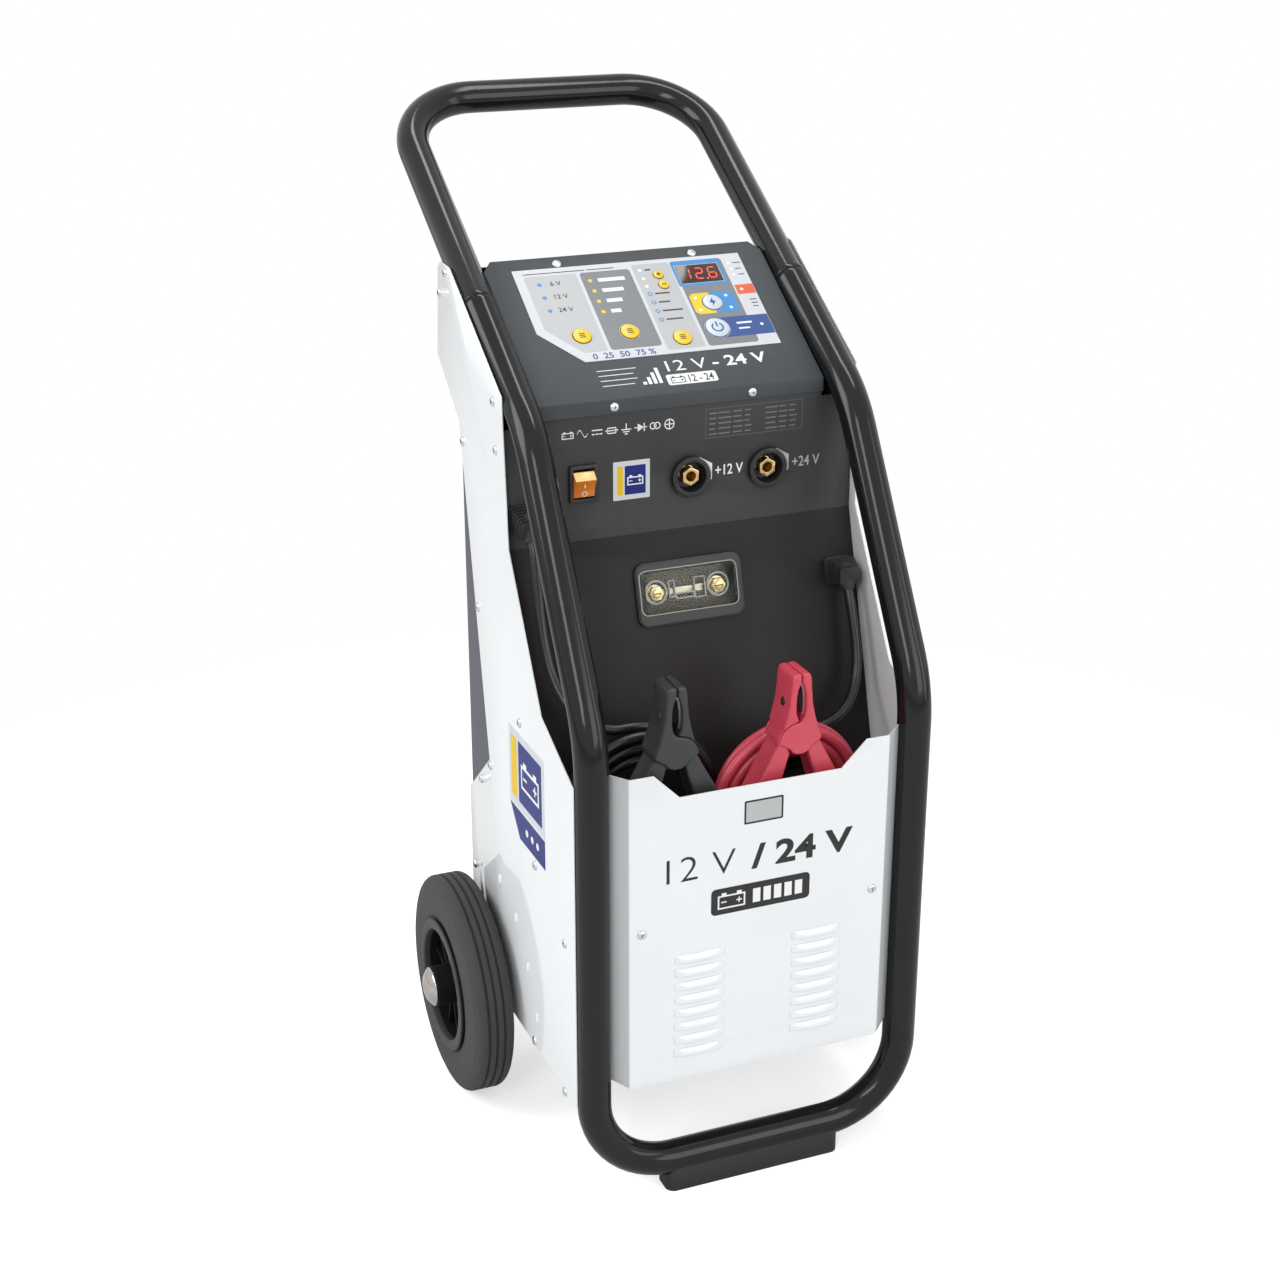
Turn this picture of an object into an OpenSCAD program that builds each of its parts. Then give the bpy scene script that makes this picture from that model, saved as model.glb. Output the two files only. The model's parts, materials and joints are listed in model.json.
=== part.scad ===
// Wheeled battery charger and starter: bent tube trolley, sheet casing with a lead bin,
// sloping console, two wheels on one axle, two charge leads with clamps and a mains lead.
// Modules are drawn with the rails at y = 0 and the bottom bar's centre at z = 0.

/* [Frame] */
// Outside diameter of the frame tube
tube_d = 28; // [27:0.5:29]
// Wall of the frame tube
tube_wall = 2; // [1.5:0.5:3]
// Middle plane to the centre of each rail
rail_half = 141; // [140:0.5:142]
// Height of the first rail bend above the bottom bar
lower_h = 394; // [392:1:396]
// Length of the leaning middle stretch, bend to bend
mid_len = 248; // [246:1:250]
// Lean of the middle stretch from upright, degrees
mid_lean = 31; // [30:0.5:32]
// Length of the upper stretch, bend to hand bar
upper_len = 404; // [396:1:412]
// Lean of the upper stretch from upright, degrees
upper_lean = 58.7; // [58:0.1:59.5]
// Radius of the four frame corners
corner_r = 70; // [62:1:76]
// Radius of the two bends in each rail
bend_r = 110; // [90:5:130]
// Distance up the upper stretch where the handle loop plugs in
splice_s = 141; // [130:1:150]
// Length of the foot pad along the bottom bar
foot_len = 160; // [140:2:170]
// Bottom bar's centre above the floor
bar_h = 26; // [25:0.5:27]

/* [Casing] */
// Thickness of the casing sheets
sheet = 1.2; // [1:0.1:1.5]
// Bottom edge of the casing
casing_z = 70; // [69:0.5:71]
// Rear edge of the side panels
casing_y = 264; // [263.5:0.5:266]
// Half width of the front cover's flat face
cover_half = 113; // [110:1:115]
// Front cover's face ahead of the rail centres
cover_y = 10; // [9:0.5:10.5]
// Top edge of the front cover
cover_top = 361; // [358:1:364]
// Depth of the wide notch in the front cover's top edge
notch_h = 22; // [18:1:26]
// Louvres in each column
louvres = 8; // [4:1:8]
// Face of the upright fascia behind the rail centres
fascia_y = 152.6; // [152.5:0.1:153]
// Height of the fold between fascia and bin wall
fascia_z = 502; // [500:1:504]
// Lean of the bin wall, degrees
wall_lean = 16.1; // [15.5:0.1:16.5]
// Top of the bin floor
bin_z = 224; // [222:0.5:224]

/* [Console] */
// Half width of the console lid
lid_half = 126; // [122:0.5:126]
// Slope length of the console lid
lid_len = 162.5; // [160:0.5:163]
// Slope of the console lid, degrees
lid_tilt = 33.2; // [32.8:0.1:33.5]
// Button stroke
press = 0.6; // [0.4:0.1:0.7]

/* [Wheels] */
// Outside diameter of the tyres
wheel_d = 196; // [194:1:198]
// Middle plane to the middle of each tyre
wheel_x = 181.5; // [180.5:0.5:183]
// Width of the tyre at its sidewalls
tyre_w = 38; // [37:1:40]
// Axle diameter
axle_d = 20; // [18:0.5:20]
// Axle behind the rail centres
axle_y = 224; // [222:1:228]

/* [Leads] */
// Diameter of the charge leads
lead_d = 9; // [8:0.1:9]
// Diameter of the mains lead
mains_d = 8.5; // [7.5:0.1:8.5]
// Turns in each layer of a coil
coil_turns = 3; // [2:1:3]
// Opening of a clamp's jaw, degrees
jaw_open = 20; // [10:1:20]

/* [Hidden] */
$fn = 64;
eps = 0.01;
gap = 0.3;
white = [0.92, 0.94, 0.95];
anthracite = [0.29, 0.30, 0.31];
black = [0.10, 0.10, 0.11];
steel = [0.72, 0.73, 0.75];
brass = [0.80, 0.62, 0.25];
yellow = [0.95, 0.77, 0.15];
red = [0.80, 0.12, 0.18];

// Key points of a rail, as [y, z]
tube_r = tube_d / 2;
bend1 = [0, lower_h];
bend2 = bend1 + mid_len * [sin(mid_lean), cos(mid_lean)];
hand = bend2 + upper_len * [sin(upper_lean), cos(upper_lean)];
depth_mid = (hand[0]) / 2;
axle_z = wheel_d / 2 - bar_h;

// Casing planes
panel_x = rail_half + tube_r + 0.2;
inner_x = panel_x - gap;
wall_run = tan(wall_lean);
function wall_y(z) = fascia_y - (fascia_z - z) * wall_run;
lid_y = fascia_y - sheet - 0.4;
lid_z = 618;
lip_h = 12;
lip_depth = 18;
overlay_t = 0.5;

// Sheet of thickness t on the left-hand side of a polyline
function unit(v) = v / norm(v);
function side(a, b) = let (d = unit(b - a)) [-d[1], d[0]];
function miter(p, i) = let (
    n = len(p) - 1,
    m = side(p[max(i - 1, 0)], p[max(i, 1)]),
    k = side(p[min(i, n - 1)], p[min(i + 1, n)])
  ) (m + k) / (1 + m * k);
function band(p, t) = concat(p, [for (i = [len(p) - 1:-1:0]) p[i] + t * miter(p, i)]);

module place() translate([0, -depth_mid, bar_h]) children();
module along_x(w) rotate([90, 0, 90]) linear_extrude(w, center = true) children();
module plate_x(x, t) translate([x, 0, 0]) rotate([90, 0, 90]) linear_extrude(t) children();
module both() { children(); mirror([1, 0, 0]) children(); }
module on_lid() translate([0, lid_y, lid_z]) rotate([lid_tilt, 0, 0]) children();
module on_fascia() translate([0, fascia_y, 0]) rotate([90, 0, 0]) children();
module on_wall() translate([0, fascia_y, fascia_z]) rotate([90 - wall_lean, 0, 0]) children();
module rounded(w, h, r) {
  square([w - 2 * r, h], center = true);
  square([w, h - 2 * r], center = true);
  for (x = [-1, 1], y = [-1, 1]) translate([x * (w / 2 - r), y * (h / 2 - r)]) circle(r);
}
module washer2d(d, bore) difference() { circle(d = d); circle(d = bore); }

// Frame
module tube_straight(l) {
  linear_extrude(l) washer2d(tube_d, tube_d - 2 * tube_wall);
  translate([0, 0, l]) children();
}
module tube_elbow(r, a) {
  translate([0, r, 0]) rotate([90, 0, -90]) rotate_extrude(angle = a, $fn = 96)
    translate([r, 0]) washer2d(tube_d, tube_d - 2 * tube_wall);
  translate([0, r - r * cos(a), r * sin(a)]) rotate([-a, 0, 0]) children();
}
// A hair proud of the tube where a bend runs out into a straight
module bend_mark() {
  step = 0.05;
  translate([0, 0, -0.5]) linear_extrude(1) washer2d(tube_d + 2 * step, tube_d - 2 * tube_wall - 2 * step);
  children();
}
module lower_frame() {
  turn2 = upper_lean - mid_lean;
  cut1 = bend_r * tan(mid_lean / 2);
  cut2 = bend_r * tan(turn2 / 2);
  bar_half = rail_half - corner_r;
  color(black) {
    translate([-bar_half, 0, 0]) rotate([0, 90, 0]) tube_straight(2 * bar_half);
    both() translate([-bar_half, 0, 0]) rotate([0, -90, 0]) rotate([0, 0, -90]) tube_elbow(corner_r, 90)
      rotate([0, 0, 90]) tube_straight(lower_h - corner_r - cut1) bend_mark() tube_elbow(bend_r, mid_lean)
      bend_mark() tube_straight(mid_len - cut1 - cut2) bend_mark() tube_elbow(bend_r, turn2)
      bend_mark() tube_straight(splice_s - cut2);
  }
}
module handle_loop() {
  spigot_l = 50;
  color(black) translate([0, bend2[0], bend2[1]]) rotate([-upper_lean, 0, 0]) both()
    translate([rail_half, 0, splice_s]) {
      translate([0, 0, -spigot_l]) linear_extrude(spigot_l)
        washer2d(tube_d - 2 * tube_wall - 0.2, tube_d - 4 * tube_wall);
      linear_extrude(3) washer2d(tube_d, tube_d - 4 * tube_wall);
      rotate([0, 0, 90]) tube_straight(upper_len - splice_s - corner_r)
        tube_elbow(corner_r, 90) tube_straight(rail_half - corner_r);
    }
}
module foot_pad() {
  pad_w = 2 * tube_r - 1;
  color(black) difference() {
    translate([0, 0, -bar_h]) linear_extrude(bar_h - 4) rounded(foot_len, pad_w, 8);
    rotate([0, 90, 0]) cylinder(d = tube_d + 0.1, h = 2 * foot_len, center = true);
  }
}

// Casing
side_outline = [[0, casing_z], [0, 358], [71, 389], [142, 506], [151, 629], [278, 707], [301, 708],
  [309, 702], [318, 626], [263, 582], [206, 295], [255, 252], [casing_y, 246], [casing_y, 58], [190, 58],
  [166, casing_z]];
side_screws = [[288, 701], [305, 681], [171, 621], [167, 582], [254, 566], [226, 428], [123, 363],
  [204, 290], [230, 266], [256, 170], [91, 248], [22, 211], [101, 74.5], [26, 69]];
module side_panel() difference() {
  plate_x(panel_x, sheet) polygon(side_outline);
  translate([panel_x, axle_y, axle_z]) rotate([0, 90, 0]) cylinder(d = axle_d + 0.4, h = 20, center = true);
}
module right_side_panel() color(white) side_panel();
module left_side_panel() color(white) mirror([1, 0, 0]) side_panel();
module rear_cover() {
  back = [[292.2, 702], [307, 698.5], [316, 625], [261, 582], [261, 72]];
  ear = [[200, 250], [261, 250], [261, 582], [238, 582]];
  color(anthracite) {
    difference() {
      along_x(2 * inner_x) polygon(band(back, -sheet));
      both() translate([rail_half - tube_r - 1.5, 270, 690]) cube([40, 60, 40]);
    }
    both() plate_x(inner_x - sheet, sheet) polygon(ear);
  }
}
louvre_w = 45;
louvre_pitch = 12.5;
louvre_x = 30;
louvre_z = 104;
module louvre() {
  hood = [[0, 7.5], [-3, 1.2], [-3, 0], [-2, 0], [-2, 1.2], [0, 5.4]];
  cheek = [[0, 7.5], [-3, 1.2], [-3, 0], [0, 0]];
  rotate([90, 0, 90]) {
    linear_extrude(louvre_w) polygon(hood);
    for (x = [0, louvre_w - 1]) translate([0, 0, x]) linear_extrude(1) polygon(cheek);
  }
}
module louvre_places() for (i = [0:louvres - 1])
  both() translate([louvre_x, -cover_y, louvre_z + i * louvre_pitch]) children();
module front_cover() {
  flange = rail_half - tube_r - 0.4;
  plan = [[-flange, 0], [-cover_half, -cover_y], [cover_half, -cover_y], [flange, 0]];
  notch_half = 71;
  color(white) {
    difference() {
      translate([0, 0, 82]) linear_extrude(cover_top + 3 - 82) polygon(band(plan, sheet));
      rotate([90, 0, 0]) linear_extrude(60, center = true) polygon([[-notch_half, cover_top - notch_h],
        [notch_half, cover_top - notch_h], [notch_half + notch_h, cover_top], [cover_half, cover_top],
        [cover_half + 20, cover_top + 10], [-cover_half - 20, cover_top + 10], [-cover_half, cover_top],
        [-notch_half - notch_h, cover_top]]);
      both() rotate([90, 0, 0]) linear_extrude(60, center = true)
        polygon([[cover_half - 3, 80], [cover_half - 3, 82], [flange + 1, 90], [flange + 1, 80]]);
      louvre_places() translate([1, -1, 0]) cube([louvre_w - 2, 5, 4.5]);
    }
    louvre_places() louvre();
  }
}
module fascia_panel() {
  fold = [[fascia_y, 612], [fascia_y, fascia_z], [wall_y(bin_z), bin_z]];
  color(anthracite) difference() {
    along_x(2 * inner_x) polygon(band(fold, sheet));
    on_fascia() {
      translate([rocker_x, rocker_z]) cube([rocker_w - 3, rocker_h - 3, 20], center = true);
      for (x = socket_xs) translate([x, socket_z]) cylinder(d = socket_neck + 0.2, h = 20, center = true);
      translate([-gland_x, charge_gland_z]) cylinder(d = gland_neck + 0.2, h = 20, center = true);
    }
    both() translate([rail_half - tube_r - 1.5, fascia_y - 5, 602]) cube([40, 12, 20]);
    on_wall() {
      translate([0, -fuse_s]) cube([fuse_w - 8, fuse_h - 8, 20], center = true);
      translate([gland_x, -mains_gland_s]) cylinder(d = gland_neck + 0.2, h = 20, center = true);
    }
  }
}
module console_lid() {
  up = [cos(lid_tilt), sin(lid_tilt)];
  top = [lid_y, lid_z] + lid_len * up;
  down = [up[1], -up[0]];
  fold = [[lid_y, lid_z - lip_h], [lid_y, lid_z], top, top + lip_depth * down];
  cheek = [[lid_y, lid_z] + 3 * up + 0.5 * down, [lid_y + 12, lid_z - 12], top + 20 * down - 8 * up,
    top - 2 * up + 0.5 * down];
  color(anthracite) difference() {
    union() {
      along_x(2 * lid_half) polygon(band(fold, -sheet));
      both() plate_x(lid_half - sheet, sheet) polygon(cheek);
    }
    on_lid() for (b = buttons) translate([b[0], b[1], -3]) cylinder(r = b[2] - 0.6, h = 6);
    on_lid() both() translate([0, 0, -30]) linear_extrude(40)
        polygon([[lid_half - 9, lid_len + 1], [lid_half + 1, lid_len + 1], [lid_half + 1, lid_len - 12]]);
    on_lid() translate([display_at[0], display_at[1], 0])
      cube([display_w - 4, display_h - 4, 8], center = true);
  }
}
function mirrored(p) = concat(p, [for (i = [len(p) - 1:-1:0]) [-p[i][0], p[i][1]]]);
module bin_floor() {
  lap = rail_half - tube_r - 1;
  half = [[cover_half - 2, -8.2], [lap - 3, 0.8], [lap, tube_r + 2], [inner_x, tube_r + 2],
    [inner_x, wall_y(bin_z) - 0.4]];
  color(anthracite) translate([0, 0, bin_z - sheet]) linear_extrude(sheet) polygon(mirrored(half));
}
base_z = 88;
base_t = 2;
module base_plate() {
  lap = rail_half - tube_r - 1;
  half = [[cover_half - 4, -8], [lap - 3, 2], [lap, tube_r + 2], [inner_x, tube_r + 2], [inner_x, 259]];
  color(steel) translate([0, 0, base_z]) linear_extrude(base_t) polygon(mirrored(half));
}

// Console pieces, placed on the lid as [x, slope distance, radius]
buttons = [[-66, 70, 8], [-24, 70, 8], [19, 58, 8], [22.5, 131, 4.6], [23.5, 119, 4.6], [59, 94, 8.6],
  [53, 65, 10.5]];
display_at = [59.5, 129];
display_w = 39;
display_h = 21;
module keypad_overlay() {
  sheet_edge = [[-103, 77], [-72, 42], [103, 42], [103, 149.2], [-103, 149.2]];
  color(white) on_lid() difference() {
    linear_extrude(overlay_t) polygon(sheet_edge);
    for (b = buttons) translate([b[0], b[1], -1]) cylinder(r = b[2] + 0.4, h = 3);
    translate([display_at[0], display_at[1], 0]) cube([display_w + 0.2, display_h + 0.2, 4], center = true);
  }
}
module display_window() {
  color([0.25, 0.03, 0.04]) on_lid() translate([display_at[0], display_at[1], 0]) {
    linear_extrude(overlay_t + 0.2) square([display_w, display_h], center = true);
    translate([0, 0, -6]) linear_extrude(6 + eps) square([display_w - 4.4, display_h - 4.4], center = true);
  }
}
board_drop = 12;
module control_board() {
  color([0.08, 0.32, 0.16]) on_lid() {
    translate([-95, 40, -board_drop - 1.6]) cube([190, 105, 1.6]);
    for (x = [-90, 90], y = [46, 138]) translate([x, y, -board_drop])
        cylinder(d = 6, h = board_drop - sheet);
  }
}
module button(i) {
  cap_r = buttons[i][2];
  color(yellow) on_lid() translate([buttons[i][0], buttons[i][1], 0]) {
    translate([0, 0, press + 0.4]) cylinder(r1 = cap_r, r2 = cap_r - 0.5, h = 0.9);
    translate([0, 0, -4]) cylinder(r = cap_r - 1, h = 4.4 + press + eps);
    translate([0, 0, -4]) cylinder(r = cap_r, h = 1.8);
  }
}
module voltage_button() button(0);
module rating_button() button(1);
module type_button() button(2);
module plus_button() button(3);
module minus_button() button(4);
module mode_button() button(5);
module start_button() button(6);

// Fascia pieces
rocker_x = -88;
rocker_z = 550.8;
rocker_w = 24;
rocker_h = 31;
rocker_pin = 3;
rocker_drop = 4;
module on_rocker() translate([rocker_x, fascia_y, rocker_z]) children();
module rocker_bezel() {
  wall = 1.2;
  color(black) on_rocker() difference() {
    union() {
      rotate([90, 0, 0]) linear_extrude(3) rounded(rocker_w, rocker_h, 1.5);
      translate([0, 9, 0]) cube([rocker_w - 3.2, 18, rocker_h - 3.2], center = true);
    }
    translate([0, 3, 0]) cube([rocker_w - 2 * wall - 3.2, 26, rocker_h - 6], center = true);
    translate([0, rocker_drop, 0]) rotate([0, 90, 0]) cylinder(d = rocker_pin + 0.1, h = 40, center = true);
  }
}
module rocker() {
  key_w = rocker_w - 6.2;
  key = [[8, -6], [-3, -11], [-3.6, -7.5], [-4.6, -4], [-6.2, 0.2], [-8.6, 4.2], [-2.1, 10], [8, 6]];
  color([0.95, 0.45, 0.08]) on_rocker() {
    along_x(key_w) polygon(key);
    translate([0, rocker_drop, 0]) rotate([0, 90, 0])
      cylinder(d = rocker_pin, h = rocker_w - 4, center = true);
  }
}
socket_xs = [6.2, 75.7];
socket_z = 546;
socket_d = 34;
socket_neck = 29;
socket_bore = 9;
module socket_shell(i) {
  color(black) translate([socket_xs[i], 0, socket_z]) on_fascia() difference() {
    union() {
      cylinder(d = socket_d, h = 5);
      translate([0, 0, -14]) cylinder(d = socket_neck, h = 14 + eps);
      translate([0, 0, -8]) cylinder(d = socket_neck + 7, h = 8 - sheet, $fn = 6);
    }
    translate([0, 0, -7]) cylinder(d1 = 23, d2 = 26, h = 12 + eps);
    translate([0, 0, -20]) cylinder(d = 15.2, h = 40);
  }
}
module socket_contact(i) {
  color(brass) translate([socket_xs[i], 0, socket_z]) on_fascia() difference() {
    union() {
      translate([0, 0, -24]) cylinder(d = 15, h = 18);
      translate([0, 0, -20]) cylinder(d = 20, h = 5.5, $fn = 6);
      translate([0, 0, -6.7]) rotate(30) cylinder(d = 16, h = 9.2, $fn = 6);
    }
    translate([0, 0, -19.5]) cylinder(d = socket_bore, h = 40);
  }
}
module socket_12v_shell() socket_shell(0);
module socket_12v_contact() socket_contact(0);
module socket_24v_shell() socket_shell(1);
module socket_24v_contact() socket_contact(1);

// Fuse holder on the bin wall
fuse_s = 52;
fuse_w = 96;
fuse_h = 53.5;
fuse_deep = 24;
stud_x = 28;
module on_fuse() on_wall() translate([0, -fuse_s, 0]) children();
module fuse_tray() {
  color(black) on_fuse() difference() {
    union() {
      linear_extrude(3) rounded(fuse_w, fuse_h, 9);
      translate([0, 0, -fuse_deep]) linear_extrude(fuse_deep + eps)
        square([fuse_w - 8.4, fuse_h - 8.4], center = true);
    }
    translate([0, 0, -fuse_deep + 2]) linear_extrude(60) square([fuse_w - 14, fuse_h - 14], center = true);
    translate([0, 0, 1.6]) linear_extrude(3) rounded(fuse_w - 10.6, fuse_h - 10.6, 6.2);
  }
}
module fuse_cover() {
  color([0.8, 0.85, 0.85, 0.4]) on_fuse() difference() {
    translate([0, 0, 1.7]) linear_extrude(2.3) rounded(fuse_w - 11, fuse_h - 11, 6);
    translate([0, 0, 0]) linear_extrude(2.8) rounded(fuse_w - 16, fuse_h - 16, 4);
  }
}
fuse_seat = -9;
module fuse_link() {
  color(brass) on_fuse() translate([0, 0, fuse_seat]) difference() {
    linear_extrude(2) {
      square([2 * stud_x, 5.5], center = true);
      for (x = [-1, 1]) translate([x * stud_x, 0]) circle(d = 15);
    }
    for (x = [-1, 1]) translate([x * stud_x, 0, -1]) cylinder(d = 8.4, h = 4);
  }
}
module fuse_nuts() {
  color(brass) on_fuse() for (x = [-1, 1]) translate([x * stud_x, 0, 0]) {
    translate([0, 0, -fuse_deep + 2]) cylinder(d = 8, h = 21.4);
    translate([0, 0, fuse_seat + 2]) cylinder(d = 13.5, h = 5, $fn = 6);
    translate([0, 0, -fuse_deep + 2]) cylinder(d = 14, h = fuse_deep - 2 + fuse_seat);
  }
}

// Glands: neck through the sheet, stacked fins round the elbow, tapered boot pointing down
gland_x = 139;
gland_neck = 16;
charge_gland_z = 528;
mains_gland_s = 53;
boot_len = 17;
boot_out = 12;
boot_dip = 62;
module gland(bore, dip) {
  fin_tilt = 14;
  difference() {
    union() {
      translate([0, 0, -6]) cylinder(d = gland_neck, h = 6 + boot_out);
      translate([0, 0, -4]) cylinder(d = gland_neck + 5, h = 4 - sheet);
      linear_extrude(2.2) rounded(26, 23, 3);
      rotate([fin_tilt, 0, 0]) linear_extrude(20) rounded(15, 13, 3);
      for (i = [0:5]) translate([0, -0.9 * i, 4.6 + 3 * i]) rotate([fin_tilt, 0, 0])
        linear_extrude(1.7) rounded(25 - 1.3 * i, 21 - 1.2 * i, 3);
      translate([0, 0, boot_out]) {
        sphere(d = gland_neck);
        rotate([dip, 0, 0]) cylinder(d1 = gland_neck - 1, d2 = bore + 3, h = boot_len);
      }
    }
    translate([0, 0, boot_out]) rotate([dip, 0, 0]) translate([0, 0, boot_len - 8])
        cylinder(d = bore, h = 20);
  }
}
module charge_gland() color(black) translate([-gland_x, 0, charge_gland_z])
    on_fascia() gland(lead_d, boot_dip);
module mains_gland() color(black) on_wall() translate([gland_x, -mains_gland_s, 0])
  gland(mains_d, boot_dip + wall_lean);

// Power parts inside the casing
core_w = 140;
core_d = 84;
core_h = 118;
core_y = 165;
limb = 24;
module on_core() translate([0, core_y, base_z + base_t]) children();
module transformer_core() {
  color([0.35, 0.36, 0.38]) on_core() difference() {
    translate([-core_w / 2, -core_d / 2 + 18, 0]) cube([core_w, core_d - 36, core_h]);
    both() translate([limb, -core_d, limb]) cube([core_w / 2 - 2 * limb, 2 * core_d, core_h - 2 * limb]);
  }
}
module transformer_winding() {
  out_w = core_w - 2 * limb - 2;
  color([0.62, 0.30, 0.14]) on_core() translate([0, 0, limb + 1])
    linear_extrude(core_h - 2 * limb - 2) difference() {
      rounded(out_w, core_d, 8);
      square([2 * limb + 1, core_d - 35], center = true);
    }
}
sink_w = 150;
sink_h = 110;
sink_y = 238;
sink_z = 330;
module heat_sink() {
  fins = 12;
  color([0.75, 0.76, 0.78]) translate([-sink_w / 2, sink_y, sink_z]) {
    cube([sink_w, 5, sink_h]);
    for (i = [0:fins - 1]) translate([i * (sink_w - 2) / (fins - 1), 5 - eps, 0]) cube([2, 16.5, sink_h]);
  }
}
module rectifier_studs() {
  color(brass) for (x = [-45, -15, 15, 45], z = [30, 80])
    translate([x, sink_y, sink_z + z]) rotate([90, 0, 0]) {
      cylinder(d = 17, h = 5, $fn = 6);
      cylinder(d = 13, h = 14);
      cylinder(d = 4, h = 24);
    }
}

// Wheels
wheel_r = wheel_d / 2;
rim_r = 60;
hub_in = 157;
hub_out = 210;
stub = 3;
module on_axle(x) translate([x, axle_y, axle_z]) rotate([0, 90, 0]) children();
module axle() color(steel) on_axle(0) cylinder(d = axle_d, h = 2 * (hub_out + stub), center = true);
module tyre() {
  h = tyre_w / 2;
  bead = h - 3;
  tread = h - 9;
  groove = 2.5;
  profile = [[rim_r - 4, -bead], [rim_r + 4, -h + 1], [rim_r + 16, -h], [wheel_r - 11, -h + 1],
    [wheel_r - 4, -tread - 6], [wheel_r - 1, -tread - 3.2], [wheel_r, -tread], [wheel_r, tread],
    [wheel_r - 1, tread + 3.2], [wheel_r - 4, tread + 6], [wheel_r - 11, h - 1], [rim_r + 16, h],
    [rim_r + 4, h - 1], [rim_r - 4, bead]];
  color(black) rotate_extrude($fn = 96) difference() {
    polygon(profile);
    for (y = [-7, 0, 7]) translate([wheel_r - groove, y - 1]) square([2 * groove, 2]);
  }
}
module rim() {
  bore = axle_d + 0.1;
  spokes = 6;
  well = rim_r - 4.2;
  color([0.13, 0.13, 0.14]) difference() {
    union() {
      rotate_extrude($fn = 96) polygon([[well - 7, -15], [well, -15], [well, 18.2], [rim_r, 19.2],
        [rim_r, 20.8], [rim_r - 2, 21.3], [well - 7, 20.4]]);
      translate([0, 0, hub_in - wheel_x]) cylinder(d = 36, h = hub_out - hub_in);
      translate([0, 0, -5]) cylinder(d = 2 * well - 8, h = 6);
      for (i = [0:spokes - 1]) rotate(i * 360 / spokes) translate([16, -3, -4]) cube([well - 21, 6, 16]);
    }
    for (i = [0:spokes - 1]) rotate((i + 0.5) * 360 / spokes) translate([34, 0, -20])
        cylinder(d = 19, h = 40);
    cylinder(d = bore, h = 100, center = true);
  }
}
module right_tyre() on_axle(wheel_x) tyre();
module left_tyre() mirror([1, 0, 0]) right_tyre();
module right_rim() on_axle(wheel_x) rim();
module left_rim() mirror([1, 0, 0]) right_rim();
module hub_caps() {
  cap_r = 17.5;
  seat = axle_d / 2 + 0.05;
  dome = [[0, 8], [6.5, 7.4], [11.5, 5.8], [15.2, 3.2], [cap_r, 1.2], [cap_r, 0], [seat, 0],
    [seat, stub + 0.5], [0, stub + 0.5]];
  color(steel) both() on_axle(hub_out + 0.4) rotate_extrude() polygon(dome);
}

// Screw heads stand on the sheets
module screw_head() cylinder(r1 = 4, r2 = 2.8, h = 2);
module body_screws() {
  color(steel) {
    both() for (s = side_screws) translate([panel_x + sheet, s[0], s[1]]) rotate([0, 90, 0]) screw_head();
    both() translate([103, -cover_y, 224]) rotate([90, 0, 0]) screw_head();
  }
}
module console_screws() {
  color(steel) both() {
    on_lid() translate([61.5, lid_len - 4.2, 0]) screw_head();
    translate([61, lid_y, lid_z - 6.5]) rotate([90, 0, 0]) screw_head();
  }
}

// Clamps stand jaw up. A clamp's own frame has the pivot at its origin, u across and w up.
black_pivot = [-70.4, 11, 367];
red_pivot = [36.6, 11, 362];
clamp_t = 30;
pivot_d = 5;
cheek_t = 2.6;
cheek_r = 21;
grip_t = 24;
splay = 16;
jaw_l = 62;
grip_long = 118;
grip_short = 100;
function grip_end(p, s, l) = p + [s * (10 + l * sin(splay)), 0, -6 - l * cos(splay)];
// One half of the head, with the mouth cut into its inner edge
module head2d() polygon([[0.4, jaw_l], [6.4, jaw_l], [8.2, jaw_l - 2], [9, 50], [10.2, 36], [12.4, 26],
    [16.4, 12], [19.5, 4.5], [9.6, -1.5], [6.5, 2], [3.4, 6], [3.4, 16], [0.4, 19], [0.4, 21.6],
    [2.4, 23.6], [3.7, 28], [4.2, 34], [4, 42], [2.8, 49], [0.4, 55]]);
// Grip: splayed below the head, then nearly straight down to its end
module grip2d(l) {
  toe = grip_end([0, 0, 0], 1, l);
  polygon([[11.2, 6], [7.6, -5.5], [12.3, -22], [19, -45], [toe[0] - 7, toe[2] + 2], [toe[0] - 5, toe[2]],
    [toe[0] + 5, toe[2]], [toe[0] + 7, toe[2] + 2], [40, -38], [17.6, 3.4], [15.5, 8]]);
}
module upright(t) translate([0, t / 2, 0]) rotate([90, 0, 0]) linear_extrude(t) children();
module lever(l) {
  difference() {
    union() {
      upright(clamp_t) head2d();
      upright(grip_t) grip2d(l);
    }
    rotate([90, 0, 0]) cylinder(d = 19, h = 40, center = true);
  }
}
module ears(y, t) {
  difference() {
    for (k = [-1, 1]) translate([0, k * y + t / 2, 0]) rotate([90, 0, 0]) linear_extrude(t) {
      circle(d = 12);
      translate([0, -5]) square([12, 10]);
    }
    rotate([90, 0, 0]) cylinder(d = pivot_d + 0.1, h = 60, center = true);
  }
}
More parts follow.
